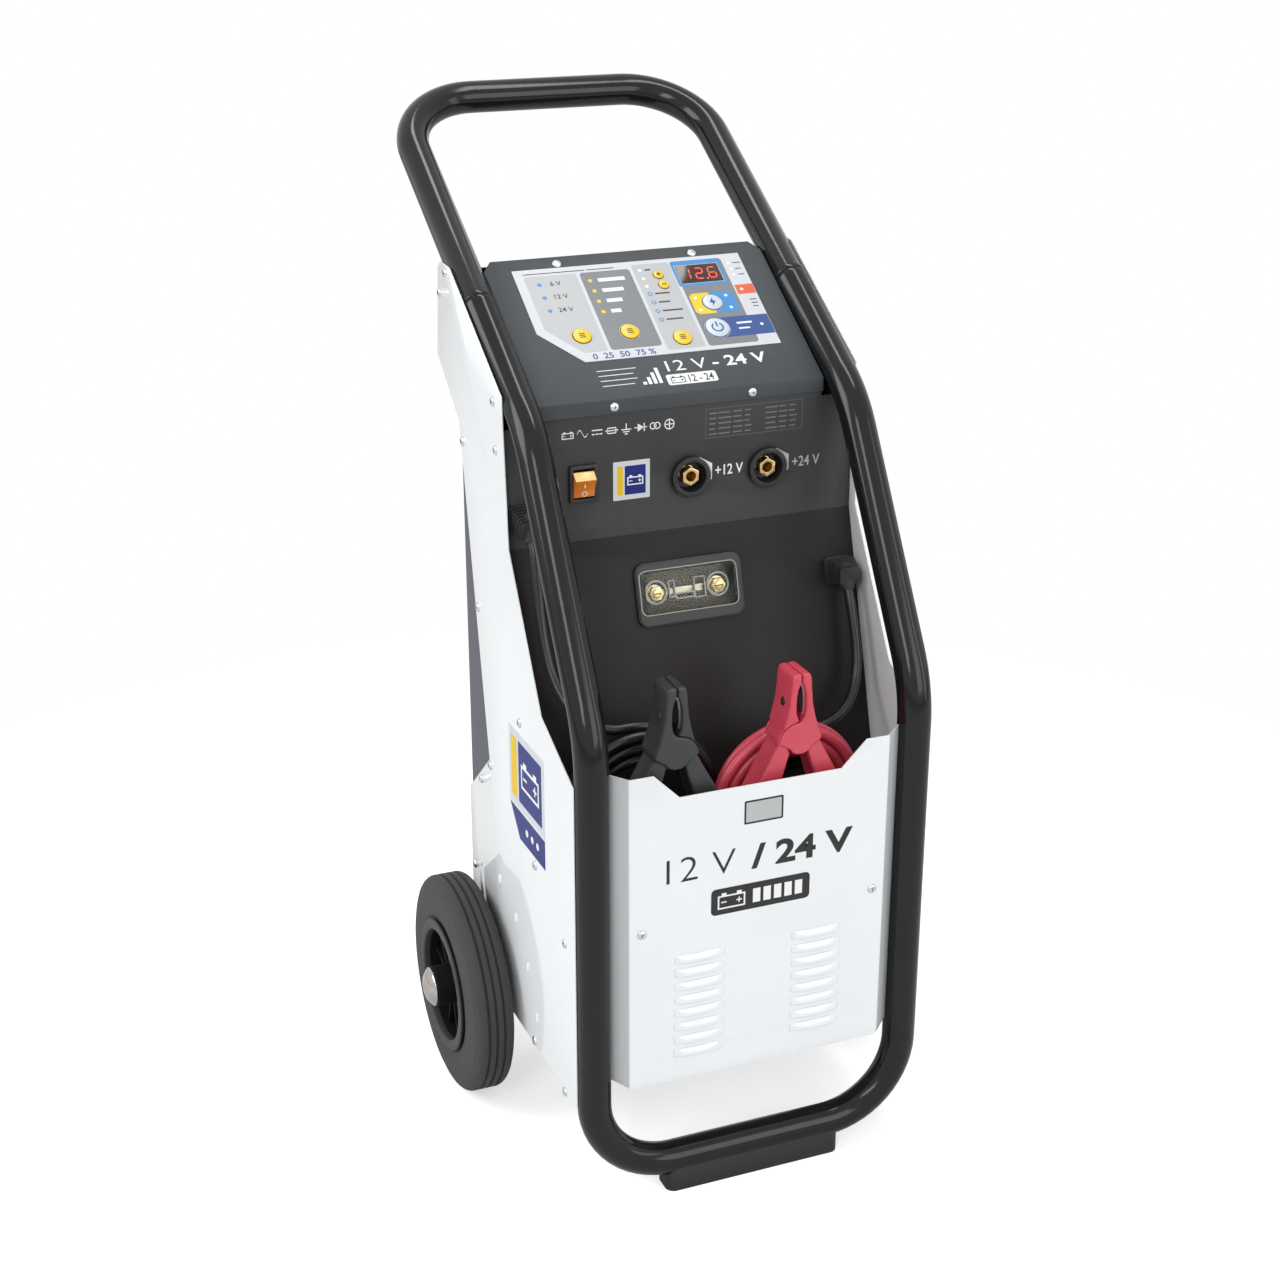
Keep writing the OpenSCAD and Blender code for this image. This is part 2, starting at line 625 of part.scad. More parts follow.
// Front and back shields of the arm, over the jaw's half of the head
module cheeks(t) for (k = [-1, 1]) translate([0, k * (clamp_t - t) / 2, 0]) upright(t)
  polygon(concat([for (a = [90:6:126]) cheek_r * [cos(a), sin(a)]], [[-16.4, 12], [-19.5, 4.5], [-9.6, -1.5],
    [-7, -5.2], [-4, -7], [4, -7], [7, -5.2], [9.6, -1.5], [14, 1.2], [13.4, 16], [3, 20.4]]));
module clamp_arm(l) {
  lever(l);
  ears(10.2, 2.8);
  cheeks(cheek_t);
}
module clamp_jaw(l) mirror([1, 0, 0]) {
  difference() {
    lever(l);
    for (k = [-1, 1]) translate([0, k * clamp_t / 2, 0]) rotate([90, 0, 0])
      cylinder(r = cheek_r + gap, h = 2 * (cheek_t + gap), center = true);
  }
  ears(6.4, 4);
}
module clamp_pin() rotate([90, 0, 0])
    cylinder(d = pivot_d, h = clamp_t - 2 * cheek_t - 2 * gap, center = true);
module clamp_spring() rotate([90, 0, 0]) difference() {
  cylinder(d = 12, h = 8, center = true);
  cylinder(d = 7, h = 10, center = true);
}
module black_clamp_arm() color(black) translate(black_pivot) mirror([1, 0, 0]) clamp_arm(grip_short);
module black_clamp_jaw() color(black) translate(black_pivot) mirror([1, 0, 0]) clamp_jaw(grip_long);
module black_clamp_pin() color(steel) translate(black_pivot) clamp_pin();
module black_clamp_spring() color(steel) translate(black_pivot) clamp_spring();
module red_clamp_arm() color(red) translate(red_pivot) clamp_arm(grip_short);
module red_clamp_jaw() color(red) translate(red_pivot) clamp_jaw(grip_long);
module red_clamp_pin() color(steel) translate(red_pivot) clamp_pin();
module red_clamp_spring() color(steel) translate(red_pivot) clamp_spring();

// Cords: a tube swept along points, its rings carried along without twist
function tangents(p) = let (n = len(p) - 1)
  [for (i = [0:n]) unit(p[min(i + 1, n)] - p[max(i - 1, 0)])];
function carry(t, u, i = 0) = i == len(t) ? [] :
  let (w = unit(u - (u * t[i]) * t[i])) concat([w], carry(t, w, i + 1));
module cord(p, d, sides) {
  n = len(p);
  t = tangents(p);
  u = carry(t, [0.3, 0.9, 0.2]);
  ring = [for (i = [0:n - 1], k = [0:sides - 1]) let (a = 360 * k / sides)
    p[i] + d / 2 * (cos(a) * u[i] + sin(a) * cross(t[i], u[i]))];
  walls = [for (i = [0:n - 2], k = [0:sides - 1]) let (a = i * sides + k, b = i * sides + (k + 1) % sides)
    each [[a, b, b + sides], [a, b + sides, a + sides]]];
  ends = [for (k = [1:sides - 2]) each [[0, k + 1, k],
    [(n - 1) * sides, (n - 1) * sides + k, (n - 1) * sides + k + 1]]];
  polyhedron(points = ring, faces = concat(walls, ends));
}
// Two flat layers of loops: in to the middle, over to the other layer, and out again
loop_rings = 24;
function coil_points(c, r, pitch, turns, dir) = let (steps = round(2 * turns * loop_rings), mid = steps / 2)
  [for (i = [0:steps]) let (
      a = -90 + dir * 360 * i / loop_rings,
      rad = r - pitch * min(i, steps - i) / loop_rings,
      over = max(-1, min(1, (i - mid) / (loop_rings / 4))),
      y = pitch / 2 * sin(90 * over)
    ) c + [rad * cos(a), y, rad * sin(a)]];
function least_gap(p, d) = let (n = len(p), skip = 6)
  min([for (i = [0:n - 1 - skip], j = [i + skip:n - 1]) norm(p[i] - p[j])]) - d;

lead_pitch = lead_d + 0.6;
mains_pitch = mains_d + 0.6;
red_r = 67.5;
red_c = [46, 39, bin_z + red_r + lead_d / 2 + 0.3];
black_r = 70.5;
black_c = [-78, 60.5, bin_z + black_r + lead_d / 2 + 0.3];
mains_r = 55.7;
mains_c = [66, 60.5, bin_z + mains_r + mains_d / 2 + 0.3];
half_turn = 0.25;

// Runs from the clamps and plugs to the coils, and from the coils up to the glands
red_tail = [[79, 13, 243], [75, 19, 236.5], [66, 26.5, 231.5], [57, 31.6, 229.6]];
red_nose = [[32, 43.6, 228.9], [16, 42.6, 230.6], [4, 40.6, 233.6]];
black_tail = [[-110, 14, 247.5], [-107, 22, 239.5], [-99, 36, 233], [-89, 48.5, 230.2]];
black_rise = [[-97, 66.5, 370], [-115, 72, 376], [-128, 83, 388], [-135, 97, 406], [-138, 109, 430],
  [-139, 118, 460]];
mains_tail = [[104.5, 47, 239], [100, 53.5, 235], [92, 57, 231], [80, 56.9, 228.9]];
mains_rise = [[88, 66, 341.5], [108, 71, 346], [124, 80, 355], [135, 91, 370], [139, 99, 390]];

charge_dir = [0, -cos(boot_dip), -sin(boot_dip)];
charge_out = [-gland_x, fascia_y - boot_out, charge_gland_z] + boot_len * charge_dir;
mains_root = [gland_x, fascia_y - mains_gland_s * sin(wall_lean) - boot_out * cos(wall_lean),
  fascia_z - mains_gland_s * cos(wall_lean) + boot_out * sin(wall_lean)];
mains_out = mains_root + boot_len * charge_dir;

function ahead(p, d, l) = p + l * d;
red_grip = grip_end(red_pivot, 1, grip_short);
black_grip = grip_end(black_pivot, -1, grip_short);
grip_dir = [sin(splay), 0, -cos(splay)];
red_plug_end = [-14, 39, 236];
mains_plug_end = [105, 32, 241];

red_path = concat([red_grip, ahead(red_grip, grip_dir, lead_d)], red_tail,
  coil_points(red_c, red_r, lead_pitch, coil_turns, -1), red_nose,
  [ahead(red_plug_end, [1, 0, 0], lead_d), red_plug_end]);
black_path = concat([black_grip, ahead(black_grip, [-grip_dir[0], 0, grip_dir[2]], lead_d)], black_tail,
  coil_points(black_c, black_r, lead_pitch, coil_turns - half_turn, 1));
black_run = concat([black_path[len(black_path) - 1]], black_rise,
  [ahead(charge_out, charge_dir, lead_d), charge_out]);
mains_path = concat([mains_plug_end, ahead(mains_plug_end, [0, 1, 0], mains_d)], mains_tail,
  coil_points(mains_c, mains_r, mains_pitch, coil_turns - half_turn, -1));
mains_run = concat([mains_path[len(mains_path) - 1]], mains_rise,
  [ahead(mains_out, charge_dir, mains_d), mains_out]);
echo(red_gap = least_gap(red_path, lead_d), black_gap = least_gap(black_path, lead_d),
  mains_gap = least_gap(mains_path, mains_d));

module red_coil() color(red) cord(red_path, lead_d, 6);
module black_coil() color(black) cord(black_path, lead_d, 6);
module black_lead() color(black) cord(black_run, lead_d, 8);
module mains_coil() color(black) cord(mains_path, mains_d, 6);
module mains_lead() color(black) cord(mains_run, mains_d, 8);
module red_plug() {
  color(black) translate(red_plug_end) rotate([0, -90, 0]) {
    cylinder(d1 = 15, d2 = 22, h = 12);
    translate([0, 0, 12 - eps]) cylinder(d = 22, h = 30);
    translate([0, 0, 42 - 2 * eps]) cylinder(d = socket_bore - 0.2, h = 16);
  }
}
module mains_plug() {
  color(black) translate(mains_plug_end) rotate([90, 0, 0]) {
    cylinder(d1 = 14, d2 = 33, h = 12);
    translate([0, 0, 12 - eps]) cylinder(d = 33, h = 9);
    for (x = [-9.5, 9.5]) translate([x, 0, 21 - 2 * eps]) cylinder(d = 4.8, h = 14);
  }
}

place() lower_frame();
place() handle_loop();
place() foot_pad();
place() left_side_panel();
place() right_side_panel();
place() rear_cover();
place() front_cover();
place() fascia_panel();
place() console_lid();
place() bin_floor();
place() base_plate();
place() keypad_overlay();
place() display_window();
place() control_board();
place() voltage_button();
place() rating_button();
place() type_button();
place() plus_button();
place() minus_button();
place() mode_button();
place() start_button();
place() rocker_bezel();
place() rocker();
place() socket_12v_shell();
place() socket_12v_contact();
place() socket_24v_shell();
place() socket_24v_contact();
place() fuse_tray();
place() fuse_cover();
place() fuse_link();
place() fuse_nuts();
place() charge_gland();
place() mains_gland();
place() transformer_core();
place() transformer_winding();
place() heat_sink();
place() rectifier_studs();
place() axle();
place() left_tyre();
place() right_tyre();
place() left_rim();
place() right_rim();
place() hub_caps();
place() body_screws();
place() console_screws();
place() black_clamp_arm();
place() black_clamp_jaw();
place() black_clamp_pin();
place() black_clamp_spring();
place() red_clamp_arm();
place() red_clamp_jaw();
place() red_clamp_pin();
place() red_clamp_spring();
place() black_lead();
place() black_coil();
place() red_coil();
place() red_plug();
place() mains_lead();
place() mains_coil();
place() mains_plug();
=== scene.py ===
import json
import math
import bmesh
import bpy
from mathutils import Matrix, Vector


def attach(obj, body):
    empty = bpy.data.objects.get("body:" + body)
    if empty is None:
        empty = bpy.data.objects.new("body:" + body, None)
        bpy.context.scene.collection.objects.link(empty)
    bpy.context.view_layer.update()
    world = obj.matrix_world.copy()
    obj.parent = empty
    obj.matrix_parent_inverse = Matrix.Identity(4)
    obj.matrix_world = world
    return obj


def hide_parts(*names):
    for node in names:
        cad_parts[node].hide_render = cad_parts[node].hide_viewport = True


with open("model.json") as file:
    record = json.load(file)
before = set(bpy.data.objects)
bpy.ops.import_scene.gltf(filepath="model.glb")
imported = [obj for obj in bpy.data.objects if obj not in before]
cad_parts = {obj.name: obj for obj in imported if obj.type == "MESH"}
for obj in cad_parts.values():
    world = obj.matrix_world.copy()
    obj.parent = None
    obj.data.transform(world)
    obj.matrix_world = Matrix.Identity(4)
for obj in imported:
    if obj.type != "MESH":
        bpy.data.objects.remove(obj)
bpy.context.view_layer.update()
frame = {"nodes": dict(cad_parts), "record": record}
nodes = frame["nodes"]
bodyOf = {n: b for b, members in frame["record"]["behaviour"]["bodies"].items() for n in members}
scene = bpy.context.scene
mm = 0.001
millimetres = Matrix.Diagonal((mm, mm, mm, 1))

# sizes shared with the drawing, in mm and degrees
trolley = {"tube": 28, "railHalf": 141, "lowerH": 394, "midLen": 248, "midLean": 31, "upperLen": 404,
           "upperLean": 58.7, "cornerR": 70, "bendR": 110, "splice": 141, "barH": 26}
casing = {"sideX": 156.4, "frontY": -10}


def leaning(start, length, lean):
    a = math.radians(lean)
    return Vector((0, start.y + length * math.sin(a), start.z + length * math.cos(a)))


bendOne = Vector((0, 0, trolley["lowerH"]))
bendTwo = leaning(bendOne, trolley["midLen"], trolley["midLean"])
handBar = leaning(bendTwo, trolley["upperLen"], trolley["upperLean"])
splicePoint = leaning(bendTwo, trolley["splice"], trolley["upperLean"])
railToRow = Vector((0, -handBar.y / 2, trolley["barH"]))


def at(x, y, z):  # a point of the drawing, in mm, to the row frame in metres
    return (Vector((x, y, z)) + railToRow) * mm


def placed(x, y, z, *turns):  # a face with its own x, up and out; turns in degrees about an axis
    face = Matrix.Translation(at(x, y, z))
    for angle, axis in turns:
        face = face @ Matrix.Rotation(math.radians(angle), 4, axis)
    return face


def linked(name, data):
    item = bpy.data.objects.new(name, data)
    scene.collection.objects.link(item)
    return item


# faces that carry small pieces
console = {"y": 151.0, "z": 618.0, "tilt": 33.2}
fascia = {"y": 152.6, "z": 502.0, "lean": 16.1}
lidFace = placed(0, console["y"], console["z"], (console["tilt"], "X"))
fasciaFace = placed(0, fascia["y"], 0, (90, "X"))
wallFace = placed(0, fascia["y"], fascia["z"], (90 - fascia["lean"], "X"))
coverFace = placed(0, casing["frontY"], 0, (90, "X"))
leftFace = placed(-casing["sideX"], 0, 0, (-90, "Z"), (90, "X"))

# camera, solved from the photograph
photoCamera = {"place": (-667.2, -1385.1, 1065.7), "forward": (0.3520, 0.8604, -0.3685), "lens": 59.82,
               "sensor": 36, "far": 50}
lens = bpy.data.cameras.new("photoCamera")
lens.lens = photoCamera["lens"]
lens.sensor_width = photoCamera["sensor"]
lens.clip_end = photoCamera["far"]
camera = linked("photoCamera", lens)
camera.location = at(*photoCamera["place"])
camera.rotation_mode = "QUATERNION"
camera.rotation_quaternion = Vector(photoCamera["forward"]).to_track_quat("-Z", "Y")
scene.camera = camera
print("camera in place")


def hexLinear(code):
    parts = [int(code[i:i + 2], 16) / 255 for i in (1, 3, 5)]
    return [c / 12.92 if c <= 0.04045 else ((c + 0.055) / 1.055) ** 2.4 for c in parts] + [1]


def addNode(tree, kind, settings=None, inputs=None):  # a node given as an input stands for its first output
    node = tree.nodes.new(kind)
    for key, value in (settings or {}).items():
        setattr(node, key, value)
    for key, value in (inputs or {}).items():
        if isinstance(value, bpy.types.Node):
            value = value.outputs[0]
        if isinstance(value, bpy.types.NodeSocket):
            tree.links.new(value, node.inputs[key])
        else:
            node.inputs[key].default_value = value
    return node


def emptyTree(owner):  # the cleared shader tree of a material or world
    owner.use_nodes = True
    owner.node_tree.nodes.clear()
    return owner.node_tree


# families of finish: roughness and its span, strength of bump, grain and mottle in mm
grainDepth = 0.25
enamel = {"rough": 0.14, "span": 0.03, "grain": 2.6, "bump": 0.04, "mottle": 90}
structure = {"rough": 0.55, "span": 0.08, "grain": 1.1, "bump": 0.35, "mottle": 40, "spec": 0.25}
bare = {"metal": 1, "span": 0.08, "grain": 0.7, "bump": 0.08, "mottle": 6}
rubber = {"rough": 0.62, "span": 0.08, "grain": 1.0, "bump": 0.18, "mottle": 18}
moulding = {"rough": 0.42, "span": 0.06, "grain": 0.8, "bump": 0.12, "mottle": 25}
pvc = {"rough": 0.34, "span": 0.06, "grain": 2.4, "bump": 0.06, "mottle": 30}
film = {"rough": 0.36, "span": 0.05, "grain": 0.9, "bump": 0.06, "mottle": 30}
ink = {**film, "rough": 0.45}
plate = {**film, "rough": 0.40, "spec": 0.18}
dome = {"rough": 0.30, "span": 0.05, "grain": 1.2, "bump": 0.05, "mottle": 8}
laminate = {"rough": 0.45, "span": 0.08, "grain": 1.0, "bump": 0.12, "mottle": 14}

# family, colour and shade in sRGB hex, and what differs from the family
finishes = {
    # powder coat on steel tube: deep black, soft sheen, faint orange peel
    "blackPowderCoat": (enamel, "#161718", "#121314", {"grain": 2.2, "mottle": 60, "spec": 0.32}),
    # polyester powder on folded steel: bright white with a clear gloss
    "whitePowderCoat": (enamel, "#eef1f3", "#e7eaec", {"rough": 0.06, "span": 0.02, "bump": 0.025, "spec": 0.8}),
    # the same white darkened on the folded flanges: painted shade beside the tubes
    "shadedWhitePowder": (enamel, "#c6c9cb", "#bec1c3", {}),
    # fine structure powder on folded steel: dark greys, pebbled
    "anthraciteStructure": (structure, "#484d50", "#414649", {"rough": 0.52}),
    "fasciaStructure": (structure, "#414141", "#3a3a3a", {}),
    # the fascia's structure paint darkened, a painted shade for the wall below the fold and for the bin floor
    "shadedStructure": (structure, "#2e2c2a", "#282624", {"spec": 0.2}),
    "greyStructure": (structure, "#63646b", "#5b5c63", {"rough": 0.5, "bump": 0.3}),
    # bright zinc on steel: cool, slightly cloudy
    "zincPlate": (bare, "#dcdee2", "#c6cacf", {"rough": 0.32, "span": 0.10, "grain": 0.8}),
    # chrome plated pressing: mirror with faint polishing haze
    "chromePlate": (bare, "#bdb8b4", "#aca7a3", {"rough": 0.09, "span": 0.05, "grain": 3, "bump": 0.03, "mottle": 12}),
    # turned brass
    "turnedBrass": (bare, "#e0c896", "#bd9f64", {"rough": 0.26, "mottle": 5}),
    # tinned fuse strip, pale grey that paints the highlight on the clear mouldings' edges, and brown laminate inside
    # the fuse tray
    "fuseStrip": (bare, "#d8ceb4", "#bdb196", {"rough": 0.34, "bump": 0.1}),
    "clearEdgeHighlight": (moulding, "#a39d94", "#8e887f", {"rough": 0.22, "grain": 1.2, "bump": 0.06, "mottle": 8}),
    "brownLaminate": (laminate, "#5a4b2c", "#382f22", {}),
    # cured tyre rubber: dark grey, dusty, dry
    "tyreRubber": (rubber, "#3f3f41", "#373739", {"rough": 0.78, "grain": 1.4, "bump": 0.30, "mottle": 22}),
    # moulded rubber of boots and foot
    "mouldedRubber": (rubber, "#242526", "#1d1e1f", {}),
    # moulded ABS, fine spark texture
    "blackAbs": (moulding, "#1f2021", "#191a1b", {}),
    "bowlAbs": (moulding, "#131314", "#0f0f10", {"rough": 0.55, "spec": 0.15}),
    "redAbs": (moulding, "#d1495b", "#c54154", {"rough": 0.36, "grain": 0.9, "bump": 0.10, "mottle": 20}),
    "clampBlackAbs": (moulding, "#333436", "#2b2c2e", {"grain": 0.9, "mottle": 20}),
    # grey on the rim's outer lip: a painted highlight on black plastic
    "rimGrey": (moulding, "#3c3d3f", "#363739", {"rough": 0.5, "grain": 1.2, "spec": 0.25}),
    # extruded flexible PVC: smooth, waxy
    "redPvc": (pvc, "#d64b60", "#ca4457", {}),
    "blackPvc": (pvc, "#1f2022", "#18191b", {"rough": 0.32}),
    # printed polyester film, satin, and the inks on it
    "filmWhite": (film, "#d2d6db", "#cbd0d5", {}),
    "filmPale": (film, "#bbbdbf", "#b4b6b8", {}),
    "filmGrey": (film, "#7b7f83", "#74787c", {}),
    "filmNavy": (film, "#234a90", "#1f4487", {}),
    "filmBlue": (film, "#3f8ccb", "#3985c3", {}),
    "filmOrange": (film, "#e2643c", "#da5d36", {}),
    "filmBlack": (film, "#1b1c1e", "#161719", {"rough": 0.40}),
    "plateNavy": (plate, "#22307c", "#1f2c74", {}),
    "plateYellow": (plate, "#ecc61c", "#e2bc18", {}),
    "inkWhite": (ink, "#f2f3f4", "#e9ebec", {}),
    "inkFaint": (ink, "#6e6f70", "#676869", {}),
    # domed polyurethane keys
    "keyYellow": (dome, "#f0cf1e", "#e8c417", {}),
    "keyPale": (dome, "#cfdae4", "#c4d0db", {}),
    # laminated core steel, varnished copper, extruded aluminium, solder mask
    "coreSteel": (bare, "#6c6f74", "#55585d", {"rough": 0.45, "span": 0.1, "grain": 0.6, "bump": 0.2, "mottle": 10}),
    "varnishedCopper": (laminate, "#9a5228", "#7d3f1c", {"rough": 0.35, "grain": 1.6, "bump": 0.3, "mottle": 12}),
    "extrudedAluminium": (bare, "#c2c4c7", "#aeb1b5", {"rough": 0.34, "grain": 0.8, "bump": 0.1, "mottle": 14}),
    "solderMask": (laminate, "#1f5a34", "#184a2a", {"rough": 0.4, "grain": 1.2, "bump": 0.1}),
}


def makeFinish(name, family, colour, shade, own):
    spec = {**family, **own}
    material = bpy.data.materials.new(name)
    tree = emptyTree(material)
    place = addNode(tree, "ShaderNodeTexCoord").outputs["Object"]
    cloud = addNode(tree, "ShaderNodeTexNoise", {"noise_dimensions": "3D"},
                    {"Vector": place, "Scale": 1000 / spec["mottle"], "Detail": 3})
    grain = addNode(tree, "ShaderNodeTexNoise", {"noise_dimensions": "3D"},
                    {"Vector": place, "Scale": 1000 / spec["grain"], "Detail": 2})
    tint = addNode(tree, "ShaderNodeMix", {"data_type": "RGBA"}, {0: cloud, 6: hexLinear(colour), 7: hexLinear(shade)})
    gloss = addNode(tree, "ShaderNodeMapRange", None, {"Value": grain, "To Min": spec["rough"] - spec["span"],
                                                       "To Max": spec["rough"] + spec["span"]})
    relief = addNode(tree, "ShaderNodeBump", None, {
        "Strength": spec["bump"], "Distance": spec["grain"] * grainDepth * mm, "Height": grain})
    shader = addNode(tree, "ShaderNodeBsdfPrincipled", None, {
        "Base Color": tint.outputs[2], "Roughness": gloss, "Metallic": spec.get("metal", 0),
        "Specular IOR Level": spec.get("spec", 0.5), "Normal": relief})
    addNode(tree, "ShaderNodeOutputMaterial", None, {"Surface": shader})
    return material


# clear and lit plastics: colour, roughness, refractive index, share let through, glow and its strength
hazeSize = 14
clears = {
    "clearPolycarbonate": ("#f4f8f8", 0.04, 1.2, 1.0, "#ffffff", 0.0),
    "litOrangePc": ("#cf7a2c", 0.22, 1.58, 0.2, "#d97a24", 0.12),
    # a paler copy of the rocker's orange with a stronger glow: painted highlight for its top
    "rockerTopHighlight": ("#f3d084", 0.22, 1.58, 0.2, "#ffdc8c", 0.30),
    "redLens": ("#3a1c18", 0.12, 1.49, 0.0, "#ffffff", 0.0),
    "litSegment": ("#e2503c", 0.3, 1.49, 0.0, "#e2503c", 0.7),
}


def makeClear(name, colour, rough, index, through, glow, strength):
    material = bpy.data.materials.new(name)
    tree = emptyTree(material)
    place = addNode(tree, "ShaderNodeTexCoord").outputs["Object"]
    haze = addNode(tree, "ShaderNodeTexNoise", None, {"Vector": place, "Scale": 1000 / hazeSize, "Detail": 2})
    gloss = addNode(tree, "ShaderNodeMapRange", None, {"Value": haze, "To Min": rough * 0.7, "To Max": rough * 1.3})
    shader = addNode(tree, "ShaderNodeBsdfPrincipled", None, {
        "Base Color": hexLinear(colour), "Roughness": gloss, "IOR": index, "Transmission Weight": through,
        "Emission Color": hexLinear(glow), "Emission Strength": strength})
    addNode(tree, "ShaderNodeOutputMaterial", None, {"Surface": shader})
    return material


coats = {name: makeFinish(name, *spec) for name, spec in finishes.items()}
coats.update((name, makeClear(name, *spec)) for name, spec in clears.items())
print("finishes:", len(coats))


def smoothLine(points, step):  # centripetal curve through the points, resampled about every step mm
    pts = [Vector(p) for p in points]
    pts = [pts[0] * 2 - pts[1]] + pts + [pts[-1] * 2 - pts[-2]]
    out = []
    for a, b, c, d in zip(pts, pts[1:], pts[2:], pts[3:]):
        t0, t1 = 0.0, max((b - a).length, 1e-6) ** 0.5
        t2 = t1 + max((c - b).length, 1e-6) ** 0.5
        t3 = t2 + max((d - c).length, 1e-6) ** 0.5
        count = max(1, round((c - b).length / step))
        for i in range(count):
            t = t1 + (t2 - t1) * i / count
            p1 = a.lerp(b, (t - t0) / (t1 - t0))
            p2 = b.lerp(c, (t - t1) / (t2 - t1))
            p3 = c.lerp(d, (t - t2) / (t3 - t2))
            q1 = p1.lerp(p2, (t - t0) / (t2 - t0))
            q2 = p2.lerp(p3, (t - t1) / (t3 - t1))
            out.append(q1.lerp(q2, (t - t1) / (t2 - t1)))
    return out + [pts[-2]]


def coilLine(centre, radius, pitch, turns, sign, perLoop=24):  # in to the middle of the coil and out again
    steps = round(2 * turns * perLoop)
    line = []
    for i in range(steps + 1):
        a = math.radians(-90 + sign * 360 * i / perLoop)
        r = radius - pitch * min(i, steps - i) / perLoop
        over = max(-1, min(1, (i - steps / 2) / (perLoop / 4)))
        line.append(Vector((centre[0] + r * math.cos(a), centre[1] + pitch / 2 * math.sin(math.pi / 2 * over),
                            centre[2] + r * math.sin(a))))
    return line


def cordPiece(name, route, diameter, finish):
    curve = bpy.data.curves.new(name, "CURVE")
    curve.dimensions = "3D"
    curve.bevel_depth = diameter / 2 * mm
    curve.bevel_resolution = 5
    curve.use_fill_caps = True
    spline = curve.splines.new("POLY")
    line = [at(*p) for p in smoothLine(route, leads["step"])]
    spline.points.add(len(line) - 1)
    for point, place in zip(spline.points, line):
        point.co = (*place, 1)
    spline.use_smooth = True
    curve.materials.append(coats[finish])
    piece = linked(name, curve)
    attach(piece, "trolley")
    return piece, line, sum((b - a).length for a, b in zip(line, line[1:]))


# leads: routes in the drawing's mm, from the gland or plug to the far end
leads = {"chargeD": 9, "mainsD": 8.5, "room": 0.6, "glandX": 139, "bootOut": 12, "bootLen": 17, "bootDip": 62,
         "splay": 16, "grip": 100, "gripX": 10, "gripZ": -6, "step": 5, "floor": 224, "rest": 0.3, "chargeZ": 528,
         "mainsDown": 53}
dip, lean, splay = (math.radians(a) for a in (leads["bootDip"], fascia["lean"], leads["splay"]))
bootWay = Vector((0, -math.cos(dip), -math.sin(dip)))
chargeRoot = Vector((-leads["glandX"], fascia["y"] - leads["bootOut"], leads["chargeZ"]))
mainsRoot = Vector((leads["glandX"],
                    fascia["y"] - leads["mainsDown"] * math.sin(lean) - leads["bootOut"] * math.cos(lean),
                    fascia["z"] - leads["mainsDown"] * math.cos(lean) + leads["bootOut"] * math.sin(lean)))
chargeOut, mainsOut = (root + leads["bootLen"] * bootWay for root in (chargeRoot, mainsRoot))
blackPivot = Vector((-70.4, 11, 367))
redPivot = Vector((36.6, 11, 362))


def gripEnd(pivot, sign, along):
    return pivot + Vector((sign * (leads["gripX"] + along * math.sin(splay)), 0,
                           leads["gripZ"] - along * math.cos(splay)))


def binCoil(x, y, radius, diameter, turns, sign):  # an upright coil standing on the bin floor
    z = leads["floor"] + radius + diameter / 2 + leads["rest"]
    return coilLine((x, y, z), radius, diameter + leads["room"], turns, sign)


redCoil = binCoil(46, 39, 67.5, leads["chargeD"], 3, -1)
blackCoil = binCoil(-78, 60.5, 70.5, leads["chargeD"], 2.75, 1)
mainsCoil = binCoil(66, 60.5, 55.7, leads["mainsD"], 2.75, -1)
redPlugEnd = Vector((-14, 39, 236))
mainsPlugEnd = Vector((105, 32, 241))
redRoute = [redPlugEnd, redPlugEnd + Vector((9, 0, 0)), (4, 40.6, 233.6), (16, 42.6, 230.6), (32, 43.6, 228.9)]
redRoute += redCoil[::-1] + [(57, 31.6, 229.6), (66, 26.5, 231.5), (75, 19, 236.5), (79, 13, 243)]
redRoute += [gripEnd(redPivot, 1, leads["grip"] + 9), gripEnd(redPivot, 1, leads["grip"])]
blackRoute = [chargeOut, chargeOut + 9 * bootWay, (-139, 118, 460), (-138, 109, 430), (-135, 97, 406),
              (-128, 83, 388), (-115, 72, 376), (-97, 66.5, 370)]
blackRoute += blackCoil[::-1] + [(-89, 48.5, 230.2), (-99, 36, 233), (-107, 22, 239.5), (-110, 14, 247.5)]
blackRoute += [gripEnd(blackPivot, -1, leads["grip"] + 9), gripEnd(blackPivot, -1, leads["grip"])]
mainsRoute = [mainsOut, mainsOut + 8.5 * bootWay, (139, 99, 390), (135, 91, 370), (124, 80, 355), (108, 71, 346),
              (88, 66, 341.5)]
mainsRoute += mainsCoil[::-1] + [(80, 56.9, 228.9), (92, 57, 231), (100, 53.5, 235), (104.5, 47, 239)]
mainsRoute += [mainsPlugEnd + Vector((0, 8.5, 0)), mainsPlugEnd]
redLead, redLine, redLong = cordPiece("redLead", redRoute, leads["chargeD"], "redPvc")
blackLead, blackLine, blackLong = cordPiece("blackLead", blackRoute, leads["chargeD"], "blackPvc")
mainsLead, mainsLine, mainsLong = cordPiece("mainsLead", mainsRoute, leads["mainsD"], "blackPvc")
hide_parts("red_coil")
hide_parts("black_coil", "black_lead")
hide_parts("mains_coil", "mains_lead")
print("leads, m:", round(redLong, 3), round(blackLong, 3), round(mainsLong, 3))


def camel(node):
    first, *rest = node.split("_")
    return first + "".join(word.capitalize() for word in rest)


def settle(name, mesh, finish, body, replaced=()):  # a finished mesh becomes a riding piece
    if finish:
        mesh.materials.clear()
        mesh.materials.append(coats[finish])
    piece = linked(name, mesh)
    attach(piece, body)
    if replaced:
        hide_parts(*replaced)
    return piece


def plain(helper):  # a helper's modifiers into a mesh, and the helper goes
    bpy.context.view_layer.update()
    mesh = bpy.data.meshes.new_from_object(helper.evaluated_get(bpy.context.evaluated_depsgraph_get()))
    helper.modifiers.clear()
    bpy.data.objects.remove(helper)
    return mesh


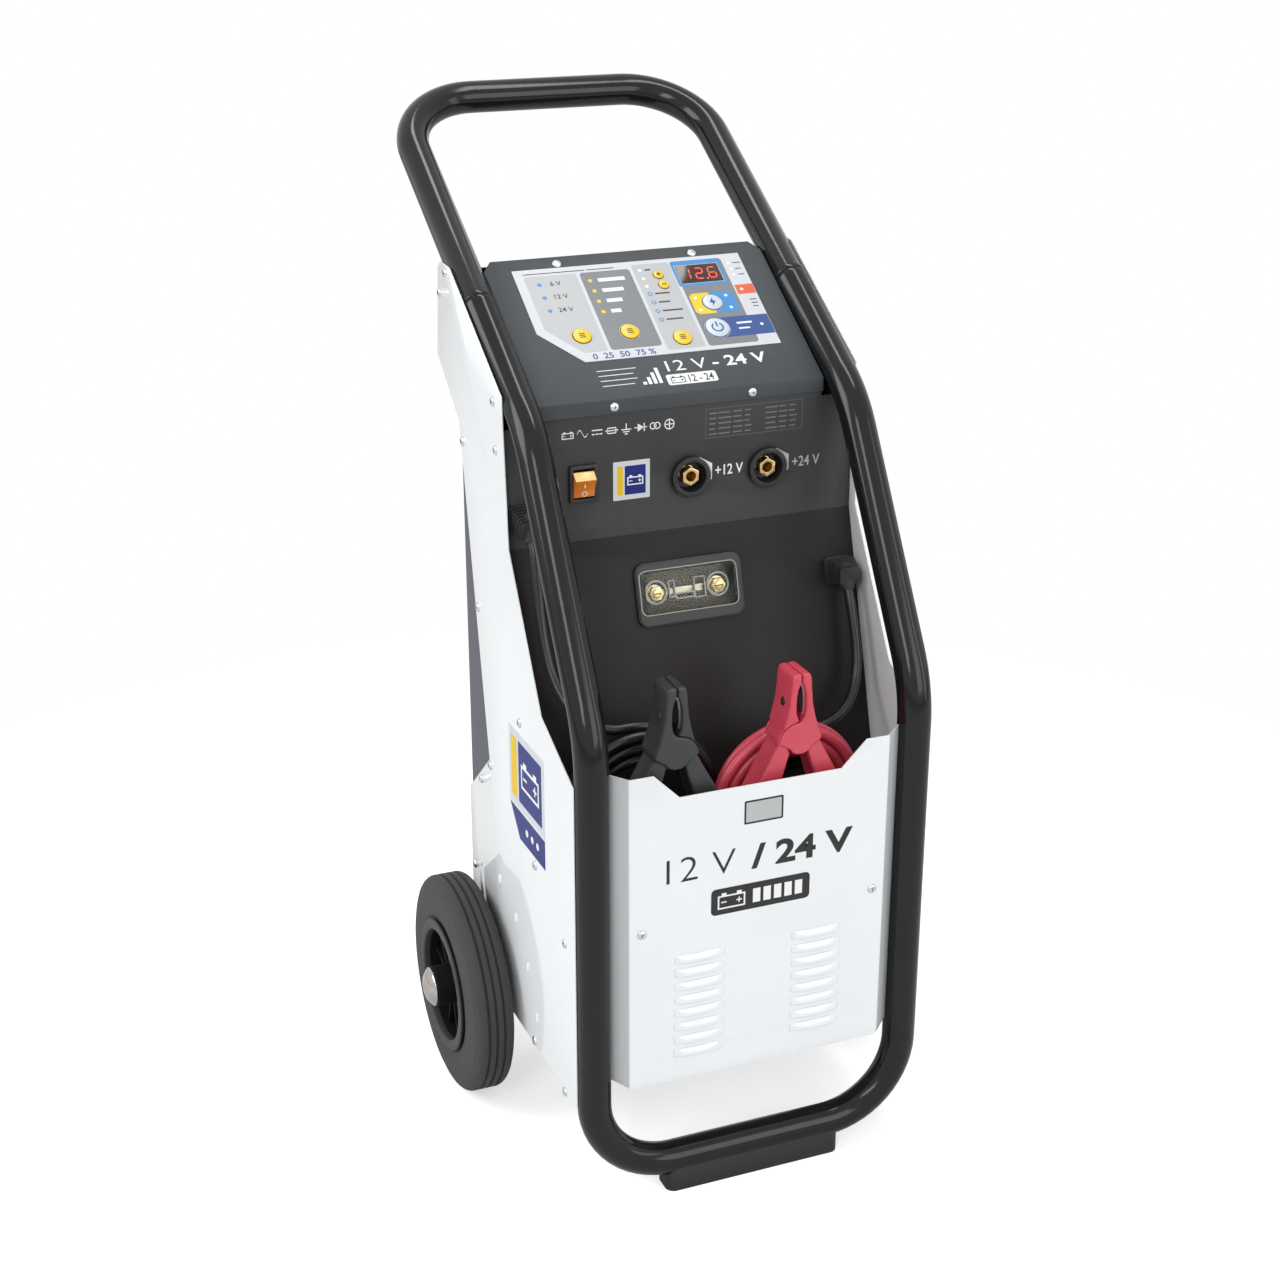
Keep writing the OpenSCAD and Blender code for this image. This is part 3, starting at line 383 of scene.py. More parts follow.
def modified(name, data, *steps):  # a mesh or curve through modifiers to a plain mesh
    helper = linked(name, data)
    for kind, settings in steps:
        step = helper.modifiers.new(kind.lower(), kind)
        for key, value in settings.items():
            setattr(step, key, value)
    return plain(helper)


def smooth(mesh, sharp=None):  # smooth faces, with edges sharp from an angle on
    for face in mesh.polygons:
        face.use_smooth = True
    if sharp:
        mesh.set_sharp_from_angle(angle=math.radians(sharp))
    return mesh


# welds in m on the drawing's meshes and in mm on flat ones; easing of edges in degrees, grid of mouldings in mm
mend = {"weld": 0.002 * mm, "flat": math.radians(0.4), "flatWeld": 0.0005}
easing = {"segments": 2, "angle": 35, "grid": 1.0, "factor": 0.5, "rounds": 20}


def mended(mesh, weld=True, flat=False, outward=True):
    shape = bmesh.new()
    shape.from_mesh(mesh)
    if weld:
        bmesh.ops.remove_doubles(shape, verts=shape.verts, dist=mend["weld"])
    if flat:
        bmesh.ops.dissolve_limit(shape, angle_limit=mend["flat"], verts=shape.verts, edges=shape.edges)
    if outward:
        bmesh.ops.recalc_face_normals(shape, faces=shape.faces)
    shape.to_mesh(mesh)
    shape.free()
    return mesh


def softPiece(node, finish, width):  # a CAD node with eased edges
    mesh = smooth(mended(nodes[node].data.copy(), flat=True, outward=False))
    mesh = modified("easing", mesh, ("BEVEL", {
        "width": width * mm, "segments": easing["segments"], "limit_method": "ANGLE",
        "angle_limit": math.radians(easing["angle"]), "harden_normals": True}))
    return settle(camel(node), mesh, finish, bodyOf[node], [node])


def moulded(node, finish):  # a CAD node with the soft edges of a thick moulding
    mesh = modified("moulding", nodes[node].data.copy(),
                    ("REMESH", {"mode": "VOXEL", "voxel_size": easing["grid"] * mm}),
                    ("SMOOTH", {"factor": easing["factor"], "iterations": easing["rounds"]}))
    return settle(camel(node), smooth(mesh), finish, bodyOf[node], [node])


def dress(finish, *names):  # a CAD node that keeps its own mesh
    for name in names:
        for slot in nodes[name].material_slots:
            slot.material = coats[finish]


def meshFrom(name, points, faces):
    mesh = bpy.data.meshes.new(name)
    mesh.from_pydata([tuple(p) for p in points], [], faces)
    return mended(mesh)


def turned(start, end, share):
    whole = start.angle(end)
    return (start * math.sin((1 - share) * whole) + end * math.sin(share * whole)) / math.sin(whole)


def filleted(points, radii, steps=14):  # a polyline with its corners rounded
    line = [Vector(points[0])]
    for before, here, after, radius in zip(points, points[1:], points[2:], radii):
        here = Vector(here)
        inWay = (Vector(before) - here).normalized()
        outWay = (Vector(after) - here).normalized()
        half = inWay.angle(outWay) / 2
        centre = here + (inWay + outWay).normalized() * (radius / math.sin(half))
        start = here + inWay * (radius / math.tan(half)) - centre
        end = here + outWay * (radius / math.tan(half)) - centre
        line += [centre + turned(start, end, i / steps) for i in range(steps + 1)]
    return line + [Vector(points[-1])]


def swept(line, radii, sides=40):  # round rings along a line, closed at both ends
    points, faces = [], []
    ways = [(line[min(i + 1, len(line) - 1)] - line[max(i - 1, 0)]).normalized() for i in range(len(line))]
    side = ways[0].orthogonal().normalized()
    for here, way, radius in zip(line, ways, radii):
        side = (side - way * side.dot(way)).normalized()
        over = way.cross(side)
        for k in range(sides):
            a = 2 * math.pi * k / sides
            points.append(here + radius * (math.cos(a) * side + math.sin(a) * over))
    for i in range(len(line) - 1):
        for k in range(sides):
            a, b = i * sides + k, i * sides + (k + 1) % sides
            faces.append((a, b, b + sides, a + sides))
    faces.append(tuple(range(sides))[::-1])
    faces.append(tuple((len(line) - 1) * sides + k for k in range(sides)))
    return points, faces


def lathe(profile, centre, steps, sign):  # closed [radius, along x] profile turned about an axle along X
    points, faces = [], []
    count = len(profile)
    for i in range(steps):
        a = 2 * math.pi * i / steps
        for r, x in profile:
            points.append(at(centre[0] + sign * x, centre[1] + r * math.cos(a), centre[2] + r * math.sin(a)))
    for i in range(steps):
        here, ahead = i * count, (i + 1) % steps * count
        for k in range(count):
            beside = (k + 1) % count
            faces.append((here + k, here + beside, ahead + beside, ahead + k))
    return points, faces


# bent tube: lower frame and the handle loop that plugs into it, each with a rolled lip at its ends
tube = {"lip": 0.35, "lipAt": (0, 0.5, 1.2, 4, 5), "lipIn": (0.6, 0.15, 0, 0), "gap": 0.4}
rail, bendR, cornerR = trolley["railHalf"], trolley["bendR"], trolley["cornerR"]
rightRail = [(rail, 0, 0), (rail, 0, trolley["lowerH"]), (rail, bendTwo.y, bendTwo.z),
             (rail, splicePoint.y, splicePoint.z)]
lowerLine = filleted([(-x, y, z) for x, y, z in rightRail[::-1]] + rightRail,
                     [bendR, bendR, cornerR, cornerR, bendR, bendR])
handleStart = splicePoint + (handBar - bendTwo).normalized() * tube["gap"]
handleLine = filleted([(-rail, handleStart.y, handleStart.z), (-rail, handBar.y, handBar.z),
                       (rail, handBar.y, handBar.z), (rail, handleStart.y, handleStart.z)], [cornerR] * 2, 20)


def tubeEnds(line, radius):
    first, last = line[0], line[-1]
    inFirst = (line[1] - first).normalized()
    inLast = (line[-2] - last).normalized()
    ends = tube["lipAt"]
    sizes = [radius + tube["lip"] - less for less in tube["lipIn"]] + [radius]
    path = [first + inFirst * e for e in ends] + line[1:-1] + [last + inLast * e for e in ends[::-1]]
    return path, sizes + [radius] * (len(line) - 2) + sizes[::-1]


for name, node, line in (("lowerFrame", "lower_frame", lowerLine), ("handleLoop", "handle_loop", handleLine)):
    path, sizes = tubeEnds(line, trolley["tube"] / 2)
    mesh = meshFrom(name, *swept([at(*p) for p in path], [s * mm for s in sizes]))
    for face in mesh.polygons:
        face.use_smooth = len(face.vertices) == 4
    settle(name, mesh, "blackPowderCoat", "trolley", [node])
print("tube frame")

# sheets and fittings keep the drawing's outline, with eased edges: finish and width of the edge in mm
fitted = {}
for node, finish, width in (
        ("left_side_panel", "whitePowderCoat", 0.5), ("right_side_panel", "whitePowderCoat", 0.5),
        ("rear_cover", "greyStructure", 0.4), ("console_lid", "anthraciteStructure", 1.0),
        ("bin_floor", "shadedStructure", 0.4), ("fascia_panel", "fasciaStructure", 0.4),
        ("foot_pad", "mouldedRubber", 2.5), ("rocker_bezel", "blackAbs", 0.5), ("rocker", "litOrangePc", 0.5),
        ("socket_12v_shell", "blackAbs", 0.6), ("socket_24v_shell", "blackAbs", 0.6),
        ("socket_12v_contact", "turnedBrass", 0.4), ("socket_24v_contact", "turnedBrass", 0.4),
        ("fuse_tray", "blackAbs", 0.5), ("fuse_cover", "clearPolycarbonate", 0.4), ("fuse_link", "fuseStrip", 0.25),
        ("fuse_nuts", "turnedBrass", 0.3), ("charge_gland", "mouldedRubber", 0.4),
        ("mains_gland", "mouldedRubber", 0.4), ("hub_caps", "chromePlate", 0.3), ("red_plug", "blackAbs", 0.6),
        ("mains_plug", "blackAbs", 0.6), ("display_window", "redLens", 0.2), ("axle", "zincPlate", 0.6)):
    fitted[node] = softPiece(node, finish, width)
for node, finish in (("black_clamp_arm", "clampBlackAbs"), ("black_clamp_jaw", "clampBlackAbs"),
                     ("red_clamp_arm", "redAbs"), ("red_clamp_jaw", "redAbs")):
    fitted[node] = moulded(node, finish)
for name in ("voltage", "rating", "type", "plus", "minus", "mode", "start"):
    softPiece(name + "_button", "keyPale" if name in ("mode", "start") else "keyYellow", 0.35)
# painted shade: the wall below the fascia's fold takes a darker copy of its paint; painted highlight: the top of the
# lit rocker takes a paler copy
wallTop = at(0, 0, fascia["z"] - 0.3).z
fitted["fascia_panel"].data.materials.append(coats["shadedStructure"])
for face in fitted["fascia_panel"].data.polygons:
    face.material_index = int(face.center.z < wallTop)
# painted highlight: the rocker's upward faces take the paler copy
fitted["rocker"].data.materials.append(coats["rockerTopHighlight"])
for face in fitted["rocker"].data.polygons:
    face.material_index = int(face.normal.z > 0.5)
dress("filmWhite", "keypad_overlay")
dress("zincPlate", "base_plate", "black_clamp_pin", "black_clamp_spring", "red_clamp_pin", "red_clamp_spring")
dress("coreSteel", "transformer_core")
dress("varnishedCopper", "transformer_winding")
dress("extrudedAluminium", "heat_sink")
dress("turnedBrass", "rectifier_studs")
dress("solderMask", "control_board")
print("casing and fittings")


def flatMesh(loops, thick=0.06, edge=0.0):  # an outline with holes, filled and given thickness, in mm on z 0
    curve = bpy.data.curves.new("outline", "CURVE")
    curve.dimensions = "2D"
    curve.fill_mode = "BOTH"
    curve.extrude = thick / 2 - edge
    curve.bevel_depth = edge
    curve.bevel_resolution = 1
    for loop in loops:
        spline = curve.splines.new("POLY")
        spline.points.add(len(loop) - 1)
        for point, (x, y) in zip(spline.points, loop):
            point.co = (x, y, 0, 1)
        spline.use_cyclic_u = True
    return modified("outline", curve)


def wordMesh(text, size, x, y, weight):
    curve = bpy.data.curves.new("word", "FONT")
    curve.body = text
    curve.size = size
    curve.offset = weight
    curve.extrude = 0.03
    curve.resolution_u = 4
    curve.align_x = curve.align_y = "CENTER"
    mesh = modified("word", curve)
    mesh.transform(Matrix.Translation((x, y, 0)))
    return mesh


def boxedWord(text, x0, y0, x1, y1, weight):  # a word stretched to a box
    mesh = wordMesh(text, 10, 0, 0, weight)
    xs, ys = [v.co.x for v in mesh.vertices], [v.co.y for v in mesh.vertices]
    for vert in mesh.vertices:
        vert.co.x = x0 + (vert.co.x - min(xs)) / (max(xs) - min(xs)) * (x1 - x0)
        vert.co.y = y0 + (vert.co.y - min(ys)) / (max(ys) - min(ys)) * (y1 - y0)
    return mesh


def joined(name, meshes):
    shape = bmesh.new()
    for mesh in meshes:
        shape.from_mesh(mesh)
    bmesh.ops.remove_doubles(shape, verts=shape.verts, dist=mend["flatWeld"])
    bmesh.ops.recalc_face_normals(shape, faces=shape.faces)
    whole = bpy.data.meshes.new(name)
    shape.to_mesh(whole)
    shape.free()
    return whole


def onFace(mesh, face, lift):  # from mm on a face to its place, lift in mm
    mesh.transform(face @ millimetres @ Matrix.Translation((0, 0, lift)))
    return mesh


# ink or film on a face; a shape is a mesh, or an outline with its holes
def printed(name, finish, shapes, face, lift, body="trolley"):
    mesh = joined(name, [flatMesh(s) if isinstance(s, list) else s for s in shapes])
    return settle(name, onFace(mesh, face, lift), finish, body)


def arc2d(x, y, r, start, step, count):  # points on a circle, in degrees from +x
    angles = [math.radians(start + step * i) for i in range(count)]
    return [(x + r * math.cos(a), y + r * math.sin(a)) for a in angles]


def round2d(x, y, r, count=36):
    return arc2d(x, y, r, 0, 360 / count, count)


def ring2d(x, y, r, wide):
    return [round2d(x, y, r), round2d(x, y, r - wide)]


def panel2d(x0, y0, x1, y1, r, steps=5):
    corners = ((x1 - r, y1 - r), (x0 + r, y1 - r), (x0 + r, y0 + r), (x1 - r, y0 + r))
    return [p for i, (x, y) in enumerate(corners) for p in arc2d(x, y, r, 90 * i, 90 / steps, steps + 1)]


def bar2d(x0, y0, x1, y1):
    return [(x0, y0), (x1, y0), (x1, y1), (x0, y1)]


def moved2d(loop, x, y, k=1):
    return [(x + u * k, y + v * k) for u, v in loop]


# front cover: one sheet with slots, folded back at both sides, pressed hoods over the slots
cover = {"half": 113, "fold": 16.88, "back": 10, "run": 13.6, "low": 82, "top": 361, "notchHalf": 71, "notch": 22,
         "sheet": 1.4, "easing": 0.3, "foldR": 3.0, "cuts": 6, "rows": 8, "firstRow": 104, "pitch": 12.5,
         "slotX": 30, "slotW": 45, "slotH": 4.5, "slotIn": 1, "hoodH": 6.6, "bulge": 3.0, "hoodWall": 0.9,
         "hoodLift": 0.02, "flangeLow": 8, "flangeTop": 3, "corner": 3, "shadeFrom": 0.8}
half, top, low = cover["half"], cover["top"], cover["low"]
reach = half + cover["fold"]
edge = [(reach, low + cover["flangeLow"]), (reach, top + cover["flangeTop"]), (half, top),
        (cover["notchHalf"] + cover["notch"], top), (cover["notchHalf"], top - cover["notch"])]
edge += [(-x, z) for x, z in edge[::-1]] + [(cover["corner"] - half, low), (half - cover["corner"], low)]
rowsAt = [cover["firstRow"] + cover["pitch"] * i for i in range(cover["rows"])]
slotEnds = (cover["slotX"] + cover["slotIn"], cover["slotX"] + cover["slotW"] - cover["slotIn"])
slots = [bar2d(x0, z, x1, z + cover["slotH"]) for x0, x1 in ((-slotEnds[1], -slotEnds[0]), slotEnds) for z in rowsAt]
coverMesh = flatMesh([edge] + slots, cover["sheet"], cover["easing"])
shape = bmesh.new()
shape.from_mesh(coverMesh)
bmesh.ops.remove_doubles(shape, verts=shape.verts, dist=mend["flatWeld"])
foldAngle = math.atan2(cover["back"], cover["run"])
arc = cover["foldR"] * foldAngle
foldFrom = half - arc / 2
for sign in (-1, 1):
    for i in range(cover["cuts"] + 1):
        cut = sign * (foldFrom + arc * i / cover["cuts"])
        bmesh.ops.bisect_plane(shape, geom=shape.verts[:] + shape.edges[:] + shape.faces[:],
                               plane_co=(cut, 0, 0), plane_no=(1, 0, 0), dist=0.0001)
for vert in shape.verts:  # bend the flanges back round the fold
    over = abs(vert.co.x) - foldFrom
    if over > 0:
        turn = min(over / cover["foldR"], foldAngle)
        rest = max(0.0, over - arc)
        radius = cover["foldR"] + vert.co.z
        x = foldFrom + radius * math.sin(turn) + rest * math.cos(foldAngle)
        out = radius * math.cos(turn) - cover["foldR"] - rest * math.sin(foldAngle)
        vert.co = (math.copysign(x, vert.co.x), vert.co.y, out)
bmesh.ops.recalc_face_normals(shape, faces=shape.faces)
shape.to_mesh(coverMesh)
shape.free()
onFace(smooth(coverMesh, 30), coverFace, -cover["sheet"] / 2)
coverPiece = settle("frontCover", coverMesh, "whitePowderCoat", "trolley", ["front_cover"])
# painted shade: faces beyond the folds, on the flanges, take the darker copy of the white
coverPiece.data.materials.append(coats["shadedWhitePowder"])
for face in coverPiece.data.polygons:
    face.material_index = int(abs(face.center.x) > (half + cover["shadeFrom"]) * mm)


def newTree(name, inputs):  # a Geometry Nodes group with named inputs, the last one its finish
    tree = bpy.data.node_groups.new(name, "GeometryNodeTree")
    tree.interface.new_socket("Geometry", in_out="INPUT", socket_type="NodeSocketGeometry")
    for label, value in inputs.items():
        kind = "NodeSocketVector" if isinstance(value, tuple) else "NodeSocketFloat"
        tree.interface.new_socket(label, in_out="INPUT", socket_type=kind).default_value = value
    tree.interface.new_socket("Coat", in_out="INPUT", socket_type="NodeSocketMaterial")
    tree.interface.new_socket("Geometry", in_out="OUTPUT", socket_type="NodeSocketGeometry")
    return tree, addNode(tree, "NodeGroupInput").outputs


def closeTree(tree, given, instance, turning=True):  # the instance on every point, realized and painted
    inputs = {"Points": given["Geometry"], "Instance": instance}
    if turning:
        inputs["Rotation"] = addNode(tree, "GeometryNodeInputNamedAttribute", {"data_type": "FLOAT_VECTOR"},
                                     {"Name": "turn"})
    spread = addNode(tree, "GeometryNodeInstanceOnPoints", None, inputs)
    real = addNode(tree, "GeometryNodeRealizeInstances", None, {"Geometry": spread})
    painted = addNode(tree, "GeometryNodeSetMaterial", None, {"Geometry": real, "Material": given["Coat"]})
    addNode(tree, "NodeGroupOutput", None, {"Geometry": painted})


def grown(name, tree, values, finish, points, aims=()):  # points through a tree to a plain mesh
    mesh = bpy.data.meshes.new(name)
    mesh.from_pydata([tuple(p) for p in points], [], [])
    if aims:
        turns = mesh.attributes.new("turn", "FLOAT_VECTOR", "POINT")
        for item, aim in zip(turns.data, aims):
            item.vector = aim
    helper = linked(name, mesh)
    grow = helper.modifiers.new("grow", "NODES")
    grow.node_group = tree
    values = {**values, "Coat": coats[finish]}
    for item in tree.interface.items_tree:
        if item.item_type == "SOCKET" and item.in_out == "INPUT" and item.name in values:
            grow[item.identifier] = values[item.name]
    done = plain(helper)
    done.name = name
    return done


def strewn(name, tree, values, finish, places, sharp=None):  # places: point in mm, outward direction, roll
    aims = []
    for _, out, roll in places:
        spin = Matrix.Rotation(math.radians(roll), 4, "Z").to_quaternion()
        aims.append(tuple((Vector(out).to_track_quat("Z", "Y") @ spin).to_euler()))
    mesh = grown(name, tree, values, finish, [Vector(p) + railToRow for p, _, _ in places], aims)
    mesh.transform(millimetres)
    return smooth(mesh, sharp)


# pressed hoods, open below: a curved strip on every point, on a grid 2 wide and 1 high
hoodSizes = {"Width": float(cover["slotW"]), "Height": cover["hoodH"], "Bulge": cover["bulge"]}
hoodTree, given = newTree("pressedHood", hoodSizes)
strip = addNode(hoodTree, "GeometryNodeMeshGrid", None,
                {"Size X": 2.0, "Size Y": 1.0, "Vertices X": 33, "Vertices Y": 11})
where = addNode(hoodTree, "ShaderNodeSeparateXYZ", None, {0: addNode(hoodTree, "GeometryNodeInputPosition")})
terms = {"x": where.outputs[0], "y": where.outputs[1], **{label: given[label] for label in hoodSizes}}
for label, operation, first, second in (
        ("apart", "ABSOLUTE", "x", 0.0), ("taper", "POWER", "apart", 3.5), ("endFade", "SUBTRACT", 1.0, "taper"),
        ("fromTop", "SUBTRACT", 0.5, "y"), ("angle", "MULTIPLY", "fromTop", math.pi / 2),
        ("curl", "SINE", "angle", 0.0), ("rise", "MULTIPLY", "curl", "Bulge"), ("stand", "MULTIPLY", "rise", "endFade"),
        ("halfWide", "MULTIPLY", "Width", 0.5), ("across", "MULTIPLY", "x", "halfWide"),
        ("climb", "ADD", "y", 0.5), ("upward", "MULTIPLY", "climb", "Height")):
    terms[label] = addNode(hoodTree, "ShaderNodeMath", {"operation": operation},
                           {0: terms.get(first, first), 1: terms.get(second, second)})
bent = addNode(hoodTree, "ShaderNodeCombineXYZ", None, {0: terms["across"], 1: terms["upward"], 2: terms["stand"]})
pressed = addNode(hoodTree, "GeometryNodeSetPosition", None, {"Geometry": strip, "Position": bent})
closeTree(hoodTree, given, pressed, turning=False)
hoodX = cover["slotX"] + cover["slotW"] / 2
hoodsAt = [(s * hoodX, z, 0) for s in (-1, 1) for z in rowsAt]
hoods = grown("coverHoods", hoodTree, hoodSizes, "whitePowderCoat", hoodsAt)
hoodMesh = modified("thickener", smooth(hoods), ("SOLIDIFY", {"thickness": cover["hoodWall"], "offset": -1}))
settle("coverHoods", onFace(hoodMesh, coverFace, cover["hoodLift"]), None, "trolley")
print("front cover:", len(coverMesh.polygons), "faces, hoods:", len(hoodMesh.polygons))

# pan head screws with a cross recess
screw = {"Radius": 4.0, "Height": 2.1, "Recess": 4.6, "Slot": 1.0, "Deep": 1.0}
screwTree, given = newTree("crossScrew", screw)
ball = addNode(screwTree, "GeometryNodeMeshUVSphere", None, {"Segments": 28, "Rings": 14, "Radius": 1.0})
where = addNode(screwTree, "ShaderNodeSeparateXYZ", None, {0: addNode(screwTree, "GeometryNodeInputPosition")}).outputs
above = addNode(screwTree, "ShaderNodeMath", {"operation": "MAXIMUM"}, {0: where[2], 1: 0.0001})
flatTop = addNode(screwTree, "ShaderNodeMath", {"operation": "POWER"}, {0: above, 1: 0.7})
flattened = addNode(screwTree, "ShaderNodeCombineXYZ", None, {0: where[0], 1: where[1], 2: flatTop})
headSize = addNode(screwTree, "ShaderNodeCombineXYZ", None,
                   {0: given["Radius"], 1: given["Radius"], 2: given["Height"]})
headAt = addNode(screwTree, "ShaderNodeVectorMath", {"operation": "MULTIPLY"}, {0: flattened, 1: headSize})
head = addNode(screwTree, "GeometryNodeSetPosition", None, {"Geometry": ball, "Position": headAt})
twice = addNode(screwTree, "ShaderNodeMath", {"operation": "MULTIPLY"}, {0: given["Deep"], 1: 2.0})
lifting = addNode(screwTree, "ShaderNodeCombineXYZ", None, {2: given["Height"]})
cutHead = addNode(screwTree, "GeometryNodeMeshBoolean", {"operation": "DIFFERENCE"}, {0: head})
for long, short in (("Recess", "Slot"), ("Slot", "Recess")):
    size = addNode(screwTree, "ShaderNodeCombineXYZ", None, {0: given[long], 1: given[short], 2: twice})
    block = addNode(screwTree, "GeometryNodeMeshCube", None, {"Size": size})
    lifted = addNode(screwTree, "GeometryNodeTransform", None, {"Geometry": block, "Translation": lifting})
    screwTree.links.new(lifted.outputs[0], cutHead.inputs[1])
closeTree(screwTree, given, cutHead)
screwAt = {"frontX": 103, "frontZ": 224, "lidX": 61.5, "lidS": 153.8, "edgeX": 61, "edgeDown": 6.5, "roll": 37}
sideScrews = [(288, 701), (305, 681), (171, 621), (167, 582), (254, 566), (226, 428), (123, 363), (204, 290),
              (230, 266), (256, 170), (91, 248), (22, 211), (101, 74.5), (26, 69)]
bodyPlaces = [((s * casing["sideX"], y, z), (s, 0, 0)) for s in (-1, 1) for y, z in sideScrews]
bodyPlaces += [((s * screwAt["frontX"], casing["frontY"], screwAt["frontZ"]), (0, -1, 0)) for s in (-1, 1)]
tilt = math.radians(console["tilt"])
lidUp, lidOut = Vector((0, math.cos(tilt), math.sin(tilt))), Vector((0, -math.sin(tilt), math.cos(tilt)))
lidStart = Vector((0, console["y"], console["z"]))
consolePlaces = [(Vector((s * screwAt["lidX"], 0, 0)) + lidStart + lidUp * screwAt["lidS"], lidOut) for s in (-1, 1)]
edgeZ = console["z"] - screwAt["edgeDown"]
consolePlaces += [((s * screwAt["edgeX"], console["y"], edgeZ), (0, -1, 0)) for s in (-1, 1)]
for name, node, places in (("bodyScrews", "body_screws", bodyPlaces),
                           ("consoleScrews", "console_screws", consolePlaces)):
    places = [(point, out, screwAt["roll"] * i) for i, (point, out) in enumerate(places)]
    settle(name, strewn(name, screwTree, screw, "zincPlate", places, 40), None, "trolley", [node])
print("screws:", len(bodyPlaces) + len(consolePlaces))

# wheels: ribbed tyre, rim lip in grey as a painted highlight, deep bowl with thin ribs; profiles as radius and distance
# along the axle
wheel = {"x": 181.5, "y": 224, "z": 72, "steps": 128, "grooves": (-7, 0, 7), "ribs": 12}
ribSizes = {"Size": (10.4, 32.0, 2.2), "Centre": (5.8, 33.0, 0.0)}
grooveProfile = [(98, -1.5), (97.5, -1.1), (95.6, -0.8), (95.6, 0.8), (97.5, 1.1), (98, 1.5)]
tread = [(r, g + x) for g in wheel["grooves"] for r, x in grooveProfile]
sideIn = [(56.2, -15.4), (57, -16.2), (60.5, -17.2), (62.5, -18.1), (64, -18.7), (65.5, -18.3), (70, -18.8), (76, -19),
          (82, -18.7), (87, -18), (88.4, -18.1), (90, -17.3), (92.5, -16.6), (94.6, -15.6), (96.2, -14.2),
          (97.2, -12.6), (97.8, -11.2), (98, -10)]
tyreProfile = sideIn + tread + [(r, -x) for r, x in sideIn[::-1]]
bowlProfile = [(10.2, -24.5), (17.4, -24.5), (18, -23.9), (18, -6), (20, -5), (47, -5), (48.8, -7), (48.8, -14.4),
               (49.4, -15), (55.8, -15), (55.8, 16), (50.2, 16.4), (49.6, 4), (46.5, 1.2), (21, 1), (18.6, 3), (18, 6),
               (18, 27.7), (17.2, 28.5), (10.2, 28.5)]
lipProfile = [(50.0, 15.6), (55.6, 15.6), (55.6, 18.2), (59.6, 19.3), (60, 19.7), (60, 20.7), (59.3, 21.3),
              (51.8, 21.3), (50.8, 20.8), (50.4, 19.6), (50.0, 17.5)]
ribTree, given = newTree("wheelRib", ribSizes)
block = addNode(ribTree, "GeometryNodeMeshCube", None, {"Size": given["Size"]})
rib = addNode(ribTree, "GeometryNodeTransform", None, {"Geometry": block, "Translation": given["Centre"]})
closeTree(ribTree, given, rib)
ribAims = [(2 * math.pi * (i + 0.5) / wheel["ribs"], 0, 0) for i in range(wheel["ribs"])]
for side, sign in (("left", -1), ("right", 1)):
    centre = (sign * wheel["x"], wheel["y"], wheel["z"])
    body = side + "_wheel"
    for name, profile, finish, slot, replaced in (
            ("Tyre", tyreProfile, "tyreRubber", "tyre", [side + "_tyre"]),
            ("Rim", bowlProfile, "bowlAbs", "black_plastic", [side + "_rim"]),
            # painted highlight: the lip takes the grey finish
            ("RimLip", lipProfile, "rimGrey", "black_plastic", [])):
        mesh = meshFrom(side + name, *lathe(profile, centre, wheel["steps"], sign))
        settle(side + name, smooth(mesh, 35), finish, body, replaced)
    mesh = grown(side + "RimRibs", ribTree, ribSizes, "bowlAbs", [(0, 0, 0)] * wheel["ribs"], ribAims)
    mesh.transform(Matrix.Translation(at(*centre)) @ Matrix.Diagonal((sign * mm, mm, mm, 1)))
    settle(side + "RimRibs", mended(mesh, weld=False), None, body)
print("wheels")

# low domes: clamp rivets and the pressed dimples of the side panels
domeTree, given = newTree("lowDome", {"Wide": 3.0, "Tall": 3.0, "Height": 1.0})
ball = addNode(domeTree, "GeometryNodeMeshUVSphere", None, {"Segments": 24, "Rings": 12, "Radius": 1.0})
size = addNode(domeTree, "ShaderNodeCombineXYZ", None, {0: given["Wide"], 1: given["Tall"], 2: given["Height"]})
closeTree(domeTree, given, addNode(domeTree, "GeometryNodeTransform", None, {"Geometry": ball, "Scale": size}))
dimples = {"sizes": {"Wide": 3.3, "Tall": 5.6, "Height": 1.9}, "at": [(185, 188), (144, 171), (115, 138), (94, 100)]}
dimplePlaces = [((s * casing["sideX"], y, z), (s, 0, 0), 0) for s in (-1, 1) for y, z in dimples["at"]]
settle("sideDimples", strewn("sideDimples", domeTree, dimples["sizes"], "whitePowderCoat", dimplePlaces), None,
       "trolley")

# clamps: rivets on the flanks, toothed contact strips inside the jaws
clamps = {"rivetAt": (10.0, -1.4, 35.8), "rivetOut": 0.22, "rivet": {"Wide": 4.0, "Tall": 4.0, "Height": 1.5},
          "half": 9.5, "teeth": 11, "back": 0.3, "tip": 1.3, "root": 0.4,
          "mouth": [(26, 3.1), (28, 3.7), (31, 3.95), (34, 4.2), (38, 4.1), (42, 4.0), (45.5, 3.4), (49, 2.8),
                    (52.5, 1.4)]}


def toothStrip(pivot, sign):
    mouth = clamps["mouth"]
    outline = [(sign * (u + clamps["back"]), w) for w, u in mouth]
    for i in range(2 * clamps["teeth"] + 1):
        w = mouth[-1][0] + (mouth[0][0] - mouth[-1][0]) * i / (2 * clamps["teeth"])
        (w0, u0), (w1, u1) = next(pair for pair in zip(mouth, mouth[1:]) if pair[1][0] >= w - 1e-6)
        u = u0 + (u1 - u0) * (w - w0) / (w1 - w0)
        outline.append((sign * (u - clamps["tip" if i % 2 else "root"]), w))
    return onFace(flatMesh([outline], 2 * clamps["half"]), placed(*pivot, (90, "X")), 0)


